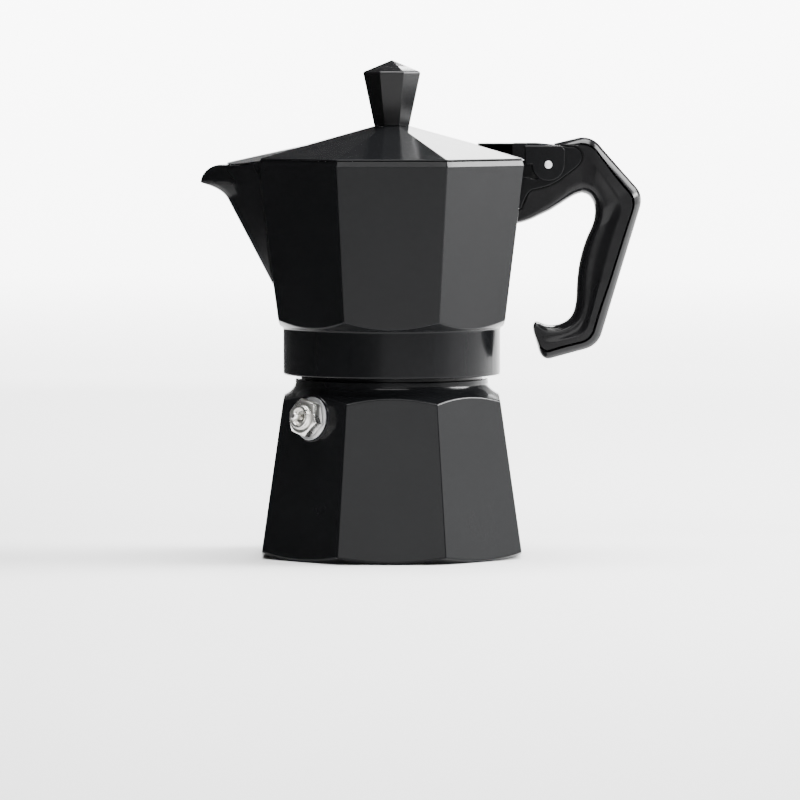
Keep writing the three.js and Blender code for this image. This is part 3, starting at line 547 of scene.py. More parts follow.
def spout_rim(tangent, cosine):
    """The spout's side, its dipped lip and the channel inside it, for a column that crosses the spout."""
    soft = math.sqrt(tangent ** 2 + RIDGE_SOFT ** 2) - RIDGE_SOFT
    crease = CREASE_RISE * RIDGE_Z + tangent * FLAT * (CHAMBER_CORNER - CHAMBER_DRAFT * COLLAR_TOP)
    crease /= CREASE_RISE - tangent * FLAT * CHAMBER_DRAFT
    crease = max(crease, RIDGE_Z + 0.4)
    top = meet(lambda z: lip_height(spout_side(z, soft)) - z, min(crease, TIP_Z - 1), RIM_Z)
    outer = []
    for z in wall_heights(crease, max(top, crease)):
        outer.append(Vector((max(spout_side(z, soft), chamber_facet(z)) / cosine, z)))

    def channel(z):
        return max(spout_side(z, tangent, SPOUT_INSET), chamber_facet(z) - CHAMBER_WALL)

    inner_top = meet(lambda z: lip_height(channel(z)) - z, RIDGE_Z + 6, RIM_Z + 0.5)
    foot = meet(lambda z: chamber_facet(z) - CHAMBER_WALL - spout_side(z, tangent, SPOUT_INSET),
                RIDGE_Z + 2, inner_top)
    inner = []
    for i in range(INNER_ROWS + 1):
        z = inner_top + (foot - inner_top) * i / INNER_ROWS
        inner.append(Vector((channel(z) / cosine, z)))
    edge_out, edge_in = outer[-1].x * cosine, channel(inner_top)
    lip = []
    for i in range(LIP_ROWS + 1):
        out = edge_out + (edge_in - edge_out) * i / LIP_ROWS
        lip.append(Vector((out / cosine, lip_height(out))))
    return outer, lip, inner


def level_rim(share):
    """The chamfered edge, the flat rim and the wall inside it, for a column beside the spout."""
    outer_rim = Vector((share * (chamber_facet(RIM_Z) - RIM_CHAMFER), RIM_Z))
    inner_rim = Vector((share * (chamber_facet(RIM_Z) - CHAMBER_WALL), RIM_Z))
    below = Vector((share * chamber_facet(RIM_Z - RIM_EDGE), RIM_Z - RIM_EDGE))
    inside = Vector((share * (chamber_facet(RIM_Z - 2) - CHAMBER_WALL), RIM_Z - 2))
    runs = ((below, outer_rim, WALL_ROWS), (outer_rim, inner_rim, LIP_ROWS), (inner_rim, inside, INNER_ROWS))
    return [[a.lerp(b, i / rows) for i in range(rows + 1)] for a, b, rows in runs]


def chamber_profile(angle):
    share = polygon_share(angle, SIDES, EDGE_SHARE)
    off = abs(angle % math.tau - math.pi)
    if off < math.pi / SIDES - SPOUT_MARGIN:
        outer, lip, inner = spout_rim(math.tan(off), math.cos(off))
        soft_out, soft_in, soft_crease = 0.9, 0.5, 1.2
    else:
        outer, lip, inner = level_rim(share)
        soft_out, soft_in, soft_crease = 0.25, 0.4, 0.25
    rim = [*outer, *lip[1:-1], *inner]
    edge = len(outer) - 1
    rim = rounded_run(rim, edge, soft_out)
    rim = rounded_run(rim, edge + len(lip) - 1, soft_in)
    rise = share * FLAT * CHAMBER_CORNER - COLLAR_RADIUS
    rise /= 1 / CHAMFER_SLOPE - share * FLAT * CHAMBER_DRAFT
    foot = (COLLAR_RADIUS + rise / CHAMFER_SLOPE, COLLAR_TOP + rise)
    floor_out = share * (chamber_facet(CHAMBER_FLOOR) - CHAMBER_WALL)
    points = [
        (0, 76.8), (20, 74.2), (29.1, 74.2), (29.1, 70.2), (COLLAR_BORE, 70.2), (COLLAR_BORE, COLLAR_Z),
        (COLLAR_RADIUS, COLLAR_Z), (COLLAR_RADIUS, COLLAR_TOP), foot, *rim,
        (floor_out, CHAMBER_FLOOR), (COLUMN_FOOT, CHAMBER_FLOOR), (COLUMN_TOP, COLUMN_TOP_Z - 1.2),
        (COLUMN_TOP - 1.6, COLUMN_TOP_Z - 0.2), (0, COLUMN_TOP_Z),
    ]
    setbacks = [None, None, None, None, None, 0.3, 0.7, 0.5, 0.45, soft_crease]
    setbacks += [None] * (len(rim) - 1) + [3.0, 2.5, 1.0, 1.0, None]
    return softened(points, setbacks)


def rounded_run(points, at, radius):
    """Rounds a corner in the middle of a finely divided run, keeping the number of points."""
    before, after = points[at::-1], points[at:]
    controls = [point_along(before, radius), points[at], point_along(after, radius)]
    back, forth = shares_within(before, radius), shares_within(after, radius)
    moved = list(points)
    for i, share in back:
        moved[at - i] = bezier(controls, 0.5 * (1 - share))
    for i, share in forth:
        moved[at + i] = bezier(controls, 0.5 * (1 + share))
    if back or forth:
        moved[at] = bezier(controls, 0.5)
    return moved


def shares_within(run, radius):
    """Indices of the points of a run that are nearer its start than radius, with their share of it."""
    result = []
    length = 0.0
    for i in range(1, len(run)):
        length += (run[i] - run[i - 1]).length
        if length > radius:
            break
        result.append((i, length / radius))
    return result


def point_along(run, distance):
    """The point at a distance along a run."""
    length = 0.0
    for a, b in zip(run, run[1:]):
        step = (b - a).length
        if length + step >= distance and step > 1e-9:
            return a.lerp(b, (distance - length) / step)
        length += step
    return run[-1]


def ear_outline():
    wall = -10.2
    return [
        Vector((wall, -3.9)), Vector((-3.6, -4.6)), *arc((0, 0), 5.0, 232, 95, 16), Vector((4.4, 6.0)),
        Vector((8.4, 5.6)), *curve((8.4, 5.6), (11.4, 5.0), (12.2, 1.4), (8.9, -1.2), steps=12),
        Vector((4.3, -4.6)), *curve((4.3, -4.6), (0.9, -7.3), (-4.9, -8.2)),
        *curve((-4.9, -8.2), (-7.0, -9.0), (-8.5, -14.2)), Vector((wall, -14.2)),
    ]


def upper_chamber():
    full = math.pi / SIDES
    near = [math.radians(a) for a in (0, 0.35, 0.8, 1.4, 2.2, 3.2, 4.5, 6.0)]
    spread = [math.radians(7.5 + 1.5 * i) for i in range(10)]
    spout = [math.pi + side * a for a in near + spread if a < full for side in (-1, 1)]
    angles = polygon_angles(SIDES, EDGE_SHARE, 14, spout)
    body = revolved(chamber_profile, angles)
    ears = both_sides(ear_outline(), EAR[0], EAR[1], 0.5)
    web = slab([(-10.2, -3.9), (-5.6, -4.2), (-5.6, -7.5), (-8.4, -10.2), (-8.9, -12.9), (-10.2, -12.9)],
               -EAR[1] + 0.2, EAR[1] - 0.2, 0.2)
    stop = slab([(-10.2, 1.3), (-4.6, 1.3), (-4.0, -5.0), (-10.2, -5.0)], -3.3, 3.3, 0.3)
    female = thread(COLLAR_BORE, THREAD_START + THREAD_PITCH / 2, -1)
    piece = joined("pot_chamber", [body])
    outlet = joined("outlet", [tube((0, -12, OUTLET_Z), (0, 12, OUTLET_Z), OUTLET_RADIUS)])
    cut(piece, [outlet])
    rest = joined("rest", [*ears, web, stop, female])
    return shaded(merged(piece, rest))


def merged(piece, other):
    """Adds another object's mesh to a piece."""
    whole = bmesh.new()
    whole.from_mesh(piece.data)
    whole.from_mesh(other.data)
    for face in whole.faces:
        face.smooth = True
    whole.to_mesh(piece.data)
    whole.free()
    bpy.data.objects.remove(other)
    return piece


# ---------------------------------------------------------------- lid

def beak_reach(direction):
    """Where a ray from the axis enters and leaves the beak's plan, or None outside it."""
    x, y = direction
    crossings = []
    for a, b in zip(BEAK_PLAN, BEAK_PLAN[1:]):
        a, b = Vector(a), Vector(b)
        side = b - a
        scale = x * side.y - y * side.x
        if abs(scale) < 1e-9:
            continue
        distance = (a.x * side.y - a.y * side.x) / scale
        share = (a.x * y - a.y * x) / scale
        if distance > 0 and -1e-6 <= share <= 1 + 1e-6:
            crossings.append(distance)
    if not crossings:
        return None
    enter = BEAK_ROOT / -x if y < -x * BEAK_ROOT_HALF / BEAK_ROOT else min(crossings)
    return enter, max(crossings)


def beak_height(x, y, root_z):
    roof = root_z + BEAK_SLOPE * (x + BEAK_ROOT)
    side = root_z + BEAK_SIDE_SLOPE[0] * (x + BEAK_ROOT) - BEAK_SIDE_SLOPE[1] * (y - BEAK_ROOT_HALF)
    return min(roof, side)


def under_beak(x):
    """Height of the lid's underside at a distance along -X."""
    low = LID_Z - SPOUT_DIP
    wall = LID_CORNER * FLAT
    return LID_Z + (low - LID_Z) * min(1.0, max(0.0, (-x - wall + 0.9) / 5.2))


CROWN_Z = LID_Z + LID_EDGE + (LID_CORNER - LID_CROWN) * LID_SLOPE
BEAK_ROOT_Z = CROWN_Z - (BEAK_ROOT / FLAT - LID_CROWN) * LID_SLOPE


def lid_height(r, share):
    """Height of the lid's plain pyramid at a distance from the axis."""
    return CROWN_Z - LID_SLOPE * (r / (share * FLAT) - LID_CROWN)


def beak_rows(direction, share, enter, end):
    """The step up to the beak, its roof, its top edge and its underside along a ray from the axis."""
    def height(r):
        return beak_height(r * direction[0], r * direction[1], BEAK_ROOT_Z)

    lean = direction[1] / -direction[0]
    fall = BEAK_SIDE_SLOPE[0] - BEAK_SLOPE
    crease = BEAK_SIDE_SLOPE[1] * BEAK_ROOT_HALF + fall * BEAK_ROOT
    crease /= (fall + BEAK_SIDE_SLOPE[1] * lean) * -direction[0]
    crease = min(max(crease, enter), end)
    foot = min(lid_height(enter, share), height(enter))
    step = [Vector((enter, foot)), Vector((enter + 0.01, height(enter)))]
    along = [enter + (crease - enter) * i / ROOF_ROWS for i in range(1, ROOF_ROWS + 1)]
    along += [crease + (end - crease) * i / 3 for i in range(1, 3)]
    roof = [Vector((r, height(r))) for r in along]
    seat = share * FLAT * LID_CORNER - UNDER_EDGE
    back = [end + (seat - end) * i / 5 for i in range(6)]
    under = [Vector((r, under_beak(r * direction[0]))) for r in back]
    return [*step, *roof], Vector((end, height(end))), under


def eave_rows(share, edge):
    """The last rows of the plain roof, its edge and the underside of the eave."""
    start = 0.9 * edge
    along = [start, start + 0.01]
    along += [start + (edge - start) * i / (ROOF_ROWS + 3) for i in range(1, ROOF_ROWS + 3)]
    roof = [Vector((r, lid_height(r, share))) for r in along]
    under = [Vector((edge - UNDER_EDGE * i / 5, LID_Z)) for i in range(6)]
    return roof, Vector((edge, LID_Z + LID_EDGE)), under


def lid_profile(angle):
    share = polygon_share(angle, SIDES, EDGE_SHARE)
    direction = (math.cos(angle), abs(math.sin(angle)))
    edge = share * FLAT * LID_CORNER
    reach = beak_reach(direction) if direction[0] < -0.7 else None
    if reach and reach[1] > edge:
        roof, top_edge, under = beak_rows(direction, share, *reach)
    else:
        roof, top_edge, under = eave_rows(share, edge)
    points = [
        (0, CROWN_Z), (share * FLAT * LID_CROWN, CROWN_Z), *roof, top_edge, *under,
        (share * FLAT * (LID_CORNER - LID_RING), LID_Z), (share * FLAT * UNDER_CROWN, UNDER_CROWN_Z),
        (0, UNDER_CROWN_Z),
    ]
    setbacks = [None, 0.3] + [None] * len(roof) + [0.15, 0.15] + [None] * (len(under) - 1)
    setbacks += [0.2, 1.0, None]
    return softened(points, setbacks)


def lid_hinge():
    low = LID_Z - PIN_Z
    web = [(-22.5, low - 0.6), (-11.0, low), (-11.0, WEB_TOP), (-22.5, WEB_TOP)]
    arm = [(-22.5, low), (-7.68, low), (-7.68, 0), (0, 0), (3.6, 3.6), (3.6, WEB_TOP - 0.7), (-3.3, WEB_TOP),
           (-22.5, WEB_TOP)]
    cheek = [(-7.5, WEB_TOP - 0.7), (-7.5, 0), *arc((0, 0), CHEEK_RADIUS, 180, 360, 28),
             (CHEEK_RADIUS, 4.9), (CHEEK_RADIUS - 1.2, WEB_TOP - 0.7)]
    return [slab(web, -ARM[1], ARM[1], 0.5), *both_sides(arm, ARM[0], ARM[1], 0.2),
            *both_sides(cheek, CHEEK[0], CHEEK[1], 0.45)]


def lid():
    corners = [math.atan2(y, -x) for x, y in BEAK_PLAN[:-1]]
    beside = [math.pi + side * (a + off) for a in corners for off in (-0.006, 0.006) for side in (-1, 1)]
    angles = polygon_angles(SIDES, EDGE_SHARE, 10, beside)
    piece = joined("pot_lid", [revolved(lid_profile, angles), *lid_hinge()])
    return shaded(piece, 30)


# ---------------------------------------------------------------- knob, pin and valve

def knob():
    def profile(angle):
        share = polygon_share(angle, SIDES, 0.05) * FLAT
        return softened([(0, KNOB_Z), (share * KNOB_FOOT, KNOB_Z), (share * KNOB_HEAD, KNOB_HEAD_Z),
                         (0, KNOB_POINT_Z)], [None, 0.3, 0.7, None], 5)
    return shaded(joined("pot_knob", [revolved(profile, polygon_angles(SIDES, 0.05, 4))]), 40)


def ring_angles(count):
    return [i * math.tau / count for i in range(count)]


def hinge_pin():
    low, high = 0.1 - PIN_HALF, PIN_HALF - 0.1
    profile = softened([(0, -PIN_HALF), (PIN_RADIUS, low), (PIN_RADIUS, high), (0, PIN_HALF)],
                       [None, 0.15, 0.15, None], 6)
    body = revolved(lambda a: profile, ring_angles(40))
    turn = Matrix.Rotation(math.pi / 2, 4, "X")
    place = Matrix.Translation(Vector((PIN_X, 0, PIN_Z)) * MM) @ turn
    bmesh.ops.transform(body, matrix=place, verts=body.verts)
    return shaded(joined("pot_pin", [body]))


def valve_body():
    def profile(angle):
        out = VALVE_HEX * polygon_share(angle, 6, 0.04)
        chamfer = 5.2 - (out - 5.05) * 0.55
        return softened([
            (0, -5.8), (4.4, -5.8), (4.4, 1.2), (5.2, 1.2), (out, 1.45), (out, chamfer), (5.05, 5.2),
            (3.85, 5.2), (3.85, 6.5), (2.75, 6.5), (2.2, 5.2), (1.45, 5.1), (1.45, 4.4), (0, 4.4),
        ], [None, 0.3, 0.1, 0.2, 0.2, 0.12, 0.12, 0.25, 0.45, 0.2, 0.2, 0.1, 0.1, None])
    body = revolved(profile, polygon_angles(6, 0.04, 12))
    turn = Matrix.Rotation(math.pi / 2, 4, "Z")
    bmesh.ops.transform(body, matrix=turn, verts=body.verts)
    return shaded(joined("pot_valve", [on_valve_axis(body)]), 40)


def valve_piston():
    profile = softened([
        (0, -4.35), (2.1, -4.35), (2.6, -3.85), (2.6, -3.35), (1.1, -3.35), (1.1, 7.4), (1.32, 7.7),
        (1.32, 8.5), (0.9, 9.1), (0, 9.1),
    ], [None, 0.1, 0.2, 0.1, 0.2, 0.1, 0.1, 0.25, 0.3, None])
    body = revolved(lambda a: profile, ring_angles(36))
    return shaded(joined("pot_piston", [on_valve_axis(body)]))


def valve_washer():
    profile = softened([(4.5, 0.55), (6.9, 0.55), (6.9, 1.15), (4.5, 1.15), (4.5, 0.55)],
                       [None, 0.15, 0.15, None, None])
    body = revolved(lambda a: profile, ring_angles(64))
    return shaded(joined("pot_washer", [on_valve_axis(body)]))


# ---------------------------------------------------------------- handle

def wall_at(z):
    return chamber_facet(PIN_Z + z) - PIN_X - 0.1


def handle_sides():
    """The outline's outer and inner runs about the pin, cut into matching stretches.

    Each stretch is (outer points, inner points, values), where the values at its end are the half width, the
    width of the bevelled edge, the depth of the hollow and the rounding of the finger side."""
    return [
        ([Vector((wall_at(-14.8), -14.8))], [Vector((wall_at(-19.2), -19.2))], (6.2, 0.6, 0.0, 1.2)),
        ([Vector((-8.6, -13.9)), Vector((-8.0, -10.5)), Vector((-5.2, -7.8))],
         curve((wall_at(-19.2), -19.2), (-6.6, -18.6), (-3.4, -16.9)), (6.2, 0.6, 0.0, 1.4)),
        ([Vector((-5.2, -2.6))], [Vector((0.8, -14.9))], (6.2, 0.6, 0.0, 1.8)),
        (arc((0, 0), 4.9, 206, 80, 12), curve((0.8, -14.9), (3.4, -13.3), (6.4, -11.3)), (6.2, 0.6, 0.0, 2.4)),
        ([Vector((2.2, 6.7))], [Vector((7.4, -10.7))], (6.2, 0.8, 0.0, 2.8)),
        ([Vector((10.4, 8.6))], curve((7.4, -10.7), (9.4, -9.5), (10.9, -9.3)), (6.3, 1.6, 0.0, 3.2)),
        (curve((10.4, 8.6), (14.6, 9.0), (17.2, 5.4)), curve((10.9, -9.3), (12.6, -9.5), (13.6, -10.5)),
         (6.9, 2.2, 0.1, 3.6)),
        ([Vector((22.8, -1.0)), Vector((28.4, -7.3))], curve((13.6, -10.5), (15.4, -12.6), (15.1, -16.0)),
         (7.5, 2.4, 0.5, 3.6)),
        (curve((28.4, -7.3), (30.9, -10.2), (29.4, -14.6)), curve((15.1, -16.0), (14.9, -18.6), (13.6, -21.2)),
         (7.5, 2.4, 0.9, 3.4)),
        ([Vector((22.5, -37.4))], curve((13.6, -21.2), (9.6, -29.6), (9.3, -40.0), steps=14),
         (7.4, 2.4, 0.9, 3.2)),
        ([Vector((17.6, -53.6))], curve((9.3, -40.0), (9.3, -46.5), (7.6, -48.8)), (7.2, 2.4, 0.6, 3.0)),
        (curve((17.6, -53.6), (16.4, -58.3), (12.0, -59.5)), curve((7.6, -48.8), (6.6, -50.3), (5.0, -51.0)),
         (7.0, 2.4, 0.3, 2.6)),
        ([Vector((0.6, -62.6))], curve((5.0, -51.0), (2.6, -52.2), (0.0, -51.8)), (6.8, 2.2, 0.1, 2.2)),
        (curve((0.6, -62.6), (-1.8, -62.9), (-2.8, -60.0)), curve((0.0, -51.8), (-1.4, -51.5), (-2.6, -50.9)),
         (6.6, 1.8, 0.0, 1.6)),
        ([Vector((-4.4, -54.6))], curve((-2.6, -50.9), (-4.5, -50.2), (-4.8, -51.9)), (6.4, 1.2, 0.0, 0.8)),
    ]


def handle_section(outer, inner, half, edge, hollow, turn):
    """One closed ring of points round a rib of the handle, from its outer to its inner side."""
    length = (inner - outer).length
    across = (inner - outer).normalized()
    edge = min(edge, 0.35 * length)
    turn = min(turn, 0.5 * length)
    flat = max(length - edge - turn, 0.0)
    start = EDGE_START * half
    side = [(0, 0), (0.0, 0.35 * half), (0.0, start - 0.06 * half), (0.03 * edge, start)]
    for i in range(1, 8):
        share = i / 7
        crown = EDGE_CROWN * edge * math.sin(math.pi * share)
        side.append((edge * (0.03 + 0.97 * share) - crown, start + (half - start) * share + crown))
    crease = CREASE_DEPTH * min(1.0, max(0.0, edge - 1.2))
    side += [(edge + 0.1, half - 0.1 * crease), (edge + 0.5 * CREASE_WIDTH, half - crease),
             (edge + CREASE_WIDTH, half - 0.02)]
    inner_half = half - 1.4 * hollow
    for i in range(1, 13):
        f = i / 12
        scoop = max(0.0, (f - FLAT_SHARE) / (1 - FLAT_SHARE))
        dip = 0.6 * hollow * math.sin(math.pi * scoop)
        out = half - 0.02 + (inner_half - half) * scoop - dip
        side.append((edge + CREASE_WIDTH + (flat - CREASE_WIDTH) * f, out))
    for i in range(1, 8):
        a = math.pi / 2 * i / 7
        side.append((length - turn * (1 - math.sin(a)), inner_half * math.cos(a) ** 0.8 if i < 7 else 0.0))
    side += [(w, -y) for w, y in reversed(side[1:-1])]
    return [(PIN_X + outer.x + across.x * w, y, PIN_Z + outer.y + across.y * w) for w, y in side]


def handle():
    stretches = handle_sides()
    rings = []
    last_out, last_in, last = stretches[0][0][0], stretches[0][1][0], stretches[0][2]
    rings.append(handle_section(last_out, last_in, *last))
    for outer, inner, values in stretches[1:]:
        out_run = resampled([last_out, *outer], STRETCH_ROWS + 1)
        in_run = resampled([last_in, *inner], STRETCH_ROWS + 1)
        for i in range(1, STRETCH_ROWS + 1):
            share = i / STRETCH_ROWS
            mixed = [a + (b - a) * share for a, b in zip(last, values)]
            rings.append(handle_section(out_run[i], in_run[i], *mixed))
        last_out, last_in, last = out_run[-1], in_run[-1], values
    target = bmesh.new()
    rows = skin(target, [list(column) for column in zip(*rings)])
    target.faces.new([row[0] for row in rows])
    target.faces.new([row[-1] for row in reversed(rows)])
    piece = joined("pot_handle", [target])
    opening = [(-14, -14.6), (-8.2, -14.6), (-6.2, -9.6), (-3, -5), (-3, 2), (0, 12), (-14, 12)]
    middle = Vector((-1.0, -2.5))
    grown = [p + (p - middle).normalized() * EAR_GAP for p in ear_outline()[1:-1]]
    cutters = []
    for outline in (grown, [Vector(p) for p in opening]):
        for low, high in ((TONGUE_HALF, 12.0), (-12.0, -TONGUE_HALF)):
            cutters.append(joined("cutter", [slab(outline, low, high, 0.001, 1)]))
    return shaded(cut(piece, cutters), 35)


# ---------------------------------------------------------------- materials

def new_material(name):
    made = bpy.data.materials.new(name)
    made.use_nodes = True
    tree = made.node_tree
    tree.nodes.clear()
    output = tree.nodes.new("ShaderNodeOutputMaterial")
    shader = tree.nodes.new("ShaderNodeBsdfPrincipled")
    tree.links.new(shader.outputs["BSDF"], output.inputs["Surface"])
    return made, tree, shader


def noise(tree, scale, detail=4.0, roughness=0.5, stretch=None):
    """A noise texture in object coordinates, in the object's own metres."""
    coordinates = tree.nodes.new("ShaderNodeTexCoord")
    texture = tree.nodes.new("ShaderNodeTexNoise")
    texture.inputs["Scale"].default_value = scale
    texture.inputs["Detail"].default_value = detail
    texture.inputs["Roughness"].default_value = roughness
    if stretch:
        mapping = tree.nodes.new("ShaderNodeMapping")
        mapping.inputs["Scale"].default_value = stretch
        tree.links.new(coordinates.outputs["Object"], mapping.inputs["Vector"])
        tree.links.new(mapping.outputs["Vector"], texture.inputs["Vector"])
    else:
        tree.links.new(coordinates.outputs["Object"], texture.inputs["Vector"])
    return texture.outputs["Fac"]


def ramp(tree, value, low, high, from_low=0.0, from_high=1.0):
    """The value taken from one range to another."""
    node = tree.nodes.new("ShaderNodeMapRange")
    node.inputs["From Min"].default_value = from_low
    node.inputs["From Max"].default_value = from_high
    node.inputs["To Min"].default_value = low
    node.inputs["To Max"].default_value = high
    tree.links.new(value, node.inputs["Value"])
    return node.outputs["Result"]


def mixed_colour(tree, share, first, second):
    node = tree.nodes.new("ShaderNodeMix")
    node.data_type = "RGBA"
    node.inputs["A"].default_value = (*first, 1)
    node.inputs["B"].default_value = (*second, 1)
    tree.links.new(share, node.inputs["Factor"])
    return node.outputs["Result"]


def bump(tree, shader, height, strength, distance):
    node = tree.nodes.new("ShaderNodeBump")
    node.inputs["Strength"].default_value = strength
    node.inputs["Distance"].default_value = distance
    tree.links.new(height, node.inputs["Height"])
    tree.links.new(node.outputs["Normal"], shader.inputs["Normal"])


def enamel():
    made, tree, shader = new_material("black_enamel")
    patches = noise(tree, 45.0, 3.0)
    tree.links.new(mixed_colour(tree, patches, (0.0030, 0.0032, 0.0036), (0.0048, 0.0050, 0.0055)),
                   shader.inputs["Base Color"])
    tree.links.new(ramp(tree, noise(tree, 130.0, 5.0), 0.14, 0.19), shader.inputs["Roughness"])
    shader.inputs["IOR"].default_value = 1.2
    bump(tree, shader, noise(tree, 1400.0, 2.0), 0.12, 0.00004)
    return made


def plastic():
    made, tree, shader = new_material("black_plastic")
    tree.links.new(mixed_colour(tree, noise(tree, 60.0), (0.0040, 0.0040, 0.0044), (0.0055, 0.0055, 0.0060)),
                   shader.inputs["Base Color"])
    tree.links.new(ramp(tree, noise(tree, 220.0, 6.0), 0.14, 0.22), shader.inputs["Roughness"])
    shader.inputs["IOR"].default_value = 1.26
    bump(tree, shader, noise(tree, 700.0, 2.0), 0.06, 0.00004)
    return made


def metal(name, low, high, roughness, grain, stretch=None, depth=0.00003):
    """Bare metal: two tints, roughness that varies, and grain or turning marks."""
    made, tree, shader = new_material(name)
    shader.inputs["Metallic"].default_value = 1.0
    tree.links.new(mixed_colour(tree, noise(tree, 90.0), low, high), shader.inputs["Base Color"])
    tree.links.new(ramp(tree, noise(tree, 260.0, 6.0), roughness - 0.05, roughness + 0.07),
                   shader.inputs["Roughness"])
    bump(tree, shader, noise(tree, grain, 3.0, 0.6, stretch), 0.25, depth)
    return made


def soft(name, low, high, roughness, grain):
    """Rubber: dull, mottled and finely pitted."""
    made, tree, shader = new_material(name)
    tree.links.new(mixed_colour(tree, noise(tree, 120.0), low, high), shader.inputs["Base Color"])
    tree.links.new(ramp(tree, noise(tree, 300.0), roughness - 0.08, roughness + 0.08),
                   shader.inputs["Roughness"])
    bump(tree, shader, noise(tree, grain, 4.0), 0.3, 0.00008)
    return made


MATERIALS = {
    "black_enamel": enamel(),
    "black_plastic": plastic(),
    "cast_aluminium": metal("cast_aluminium", (0.50, 0.51, 0.52), (0.60, 0.61, 0.62), 0.42, 900.0),
    "sheet_aluminium": metal("sheet_aluminium", (0.62, 0.63, 0.64), (0.70, 0.71, 0.72), 0.33, 1600.0),
    "nickel": metal("nickel", (0.66, 0.65, 0.62), (0.76, 0.75, 0.72), 0.27, 1200.0),
    "steel": metal("steel", (0.62, 0.62, 0.63), (0.72, 0.72, 0.73), 0.3, 1500.0),
    "brass": metal("brass", (0.60, 0.42, 0.18), (0.72, 0.54, 0.26), 0.28, 1200.0),
    "silicone": soft("silicone", (0.72, 0.70, 0.64), (0.80, 0.78, 0.72), 0.62, 900.0),
}


def dressed(piece, slot, body, *nodes):
    """Gives a piece its material and the body that it rides on, and hides the CAD nodes that it stands for."""
    piece.data.materials.clear()
    piece.data.materials.append(MATERIALS[slot])
    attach(piece, body)
    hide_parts(*nodes)
    return piece


dressed(boiler(), "black_enamel", "base", "boiler")
dressed(valve_body(), "nickel", "base", "valve_body")
dressed(valve_washer(), "cast_aluminium", "base", "valve_washer")
dressed(valve_piston(), "nickel", "valve_stem", "valve_piston")
dressed(upper_chamber(), "black_enamel", "upper", "upper_chamber")
dressed(hinge_pin(), "steel", "upper", "hinge_pin")
dressed(handle(), "black_plastic", "upper", "handle")
dressed(lid(), "black_enamel", "lid", "lid")
dressed(knob(), "black_plastic", "lid", "knob")

for subpart in frame["record"]["subparts"]:
    node = frame["nodes"][subpart["node"]]
    node.data.materials.clear()
    node.data.materials.append(MATERIALS[subpart["material_slot"]])


# ---------------------------------------------------------------- stage

def card(name, centre, facing, width, height, material):
    """A flat card with its middle at centre, facing a point. It shows in reflections only."""
    data = bpy.data.meshes.new(name)
    corners = [(-width / 2, -height / 2, 0), (width / 2, -height / 2, 0), (width / 2, height / 2, 0),
               (-width / 2, height / 2, 0)]
    data.from_pydata(corners, [], [(0, 1, 2, 3)])
    made = bpy.data.objects.new(name, data)
    bpy.context.scene.collection.objects.link(made)
    made.location = centre
    made.rotation_euler = (Vector(facing) - Vector(centre)).to_track_quat("Z", "Y").to_euler()
    data.materials.append(material)
    made.visible_camera = False
    return made


def plain(name, colour, roughness):
    made, _, shader = new_material(name)
    shader.inputs["Base Color"].default_value = (*colour, 1)
    shader.inputs["Roughness"].default_value = roughness
    return made


def softbox(name, centre, facing, width, height, radiance):
    """An area light of that radiance."""
    data = bpy.data.lights.new(name, "AREA")
    data.shape = "RECTANGLE"
    data.size = width
    data.size_y = height
    data.energy = radiance * width * height * math.pi
    made = bpy.data.objects.new(name, data)
    bpy.context.scene.collection.objects.link(made)
    made.location = centre
    made.rotation_euler = (Vector(facing) - Vector(centre)).to_track_quat("-Z", "Y").to_euler()
    return made


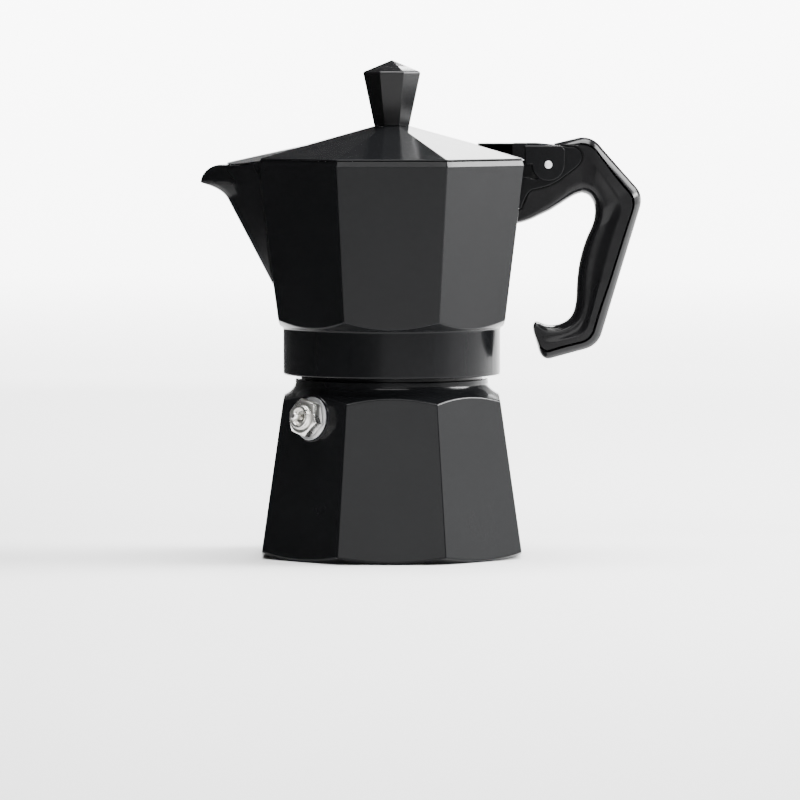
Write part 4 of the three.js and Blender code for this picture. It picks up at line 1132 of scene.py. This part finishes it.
def sweep():
    """A pale floor that curves up into a wall behind the pot. It glows more and more towards the wall."""
    low = SWEEP_WALL - SWEEP_BEND
    profile = [(SWEEP_FRONT, 0.0), (0.0, 0.0), (low, 0.0)]
    for i in range(1, 25):
        turn = math.pi / 2 * i / 24
        profile.append((low + SWEEP_BEND * math.sin(turn), SWEEP_BEND * (1 - math.cos(turn))))
    profile.append((SWEEP_WALL, SWEEP_TOP))
    data = bpy.data.meshes.new("sweep")
    points = [(x, y, z) for y, z in profile for x in (-SWEEP_HALF, SWEEP_HALF)]
    faces = [(2 * i, 2 * i + 1, 2 * i + 3, 2 * i + 2) for i in range(len(profile) - 1)]
    data.from_pydata(points, [], faces)
    data.shade_smooth()
    made = bpy.data.objects.new("sweep", data)
    bpy.context.scene.collection.objects.link(made)
    material, tree, shader = new_material("sweep")
    shader.inputs["Base Color"].default_value = (0.8, 0.8, 0.8, 1)
    shader.inputs["Roughness"].default_value = 0.8
    shader.inputs["Emission Color"].default_value = (1, 1, 1, 1)
    coordinates = tree.nodes.new("ShaderNodeTexCoord")
    split = tree.nodes.new("ShaderNodeSeparateXYZ")
    tree.links.new(coordinates.outputs["Object"], split.inputs["Vector"])
    far = ramp(tree, split.outputs["Y"], 0.0, BACK_GLOW, *GLOW_DEPTH)
    low = ramp(tree, split.outputs["Z"], 1.0, 0.0, *GLOW_TOP)
    both = tree.nodes.new("ShaderNodeMath")
    both.operation = "MULTIPLY"
    tree.links.new(far, both.inputs[0])
    tree.links.new(low, both.inputs[1])
    tree.links.new(both.outputs["Value"], shader.inputs["Emission Strength"])
    data.materials.append(material)


sweep()
black = plain("black_cloth", (0.01, 0.01, 0.01), 1.0)
card("left_card", (-0.215, -0.45, 0.25), (0, -0.45, 0.25), 1.5, 0.5, black)
card("back_left_card", (-0.26, 0.8, 0.25), (0.5, 0.8, 0.25), 1.1, 0.5, black)
card("back_high_card", (-0.36, 0.6, 0.64), (-0.36, 0.0, 0.14), 0.81, 0.8, black)
softbox("top_box", (0.0, 0.1, 1.25), (0, 0, 0), 0.9, 0.9, 22.0)
softbox("front_box", (0.05, -2.5, 0.62), (0, 0, 0.05), 1.6, 0.75, 5.0)
softbox("front_high", (0.0, -1.3, 1.25), (0, 0, 0.1), 1.0, 0.4, 14.0)
softbox("right_fill", (1.2, 0.1, 0.22), (0, 0, 0.08), 1.6, 0.34, 5.5)
softbox("right_strip", (1.1, 0.05, 0.52), (0, 0, 0.13), 0.6, 0.2, 80.0)
softbox("handle_edge", (1.0, 0.2, 0.93), (0.075, 0, 0.12), 0.6, 0.5, 30.0)
softbox("back_right", (0.33, 2.4, 1.15), (0, 0, 0.13), 0.58, 0.5, 16.0)

world = bpy.data.worlds.new("studio")
world.use_nodes = True
background = world.node_tree.nodes["Background"]
background.inputs["Color"].default_value = (1, 1, 1, 1)
background.inputs["Strength"].default_value = WORLD_STRENGTH
bpy.context.scene.world = world

camera_data = bpy.data.cameras.new("camera")
camera_data.lens = CAMERA_LENS
camera_data.sensor_width = 36.0
camera_data.clip_end = 20.0
camera = bpy.data.objects.new("camera", camera_data)
bpy.context.scene.collection.objects.link(camera)
camera.location = CAMERA_AT
camera.rotation_euler = (Vector(CAMERA_TARGET) - camera.location).to_track_quat("-Z", "Y").to_euler()
bpy.context.scene.camera = camera
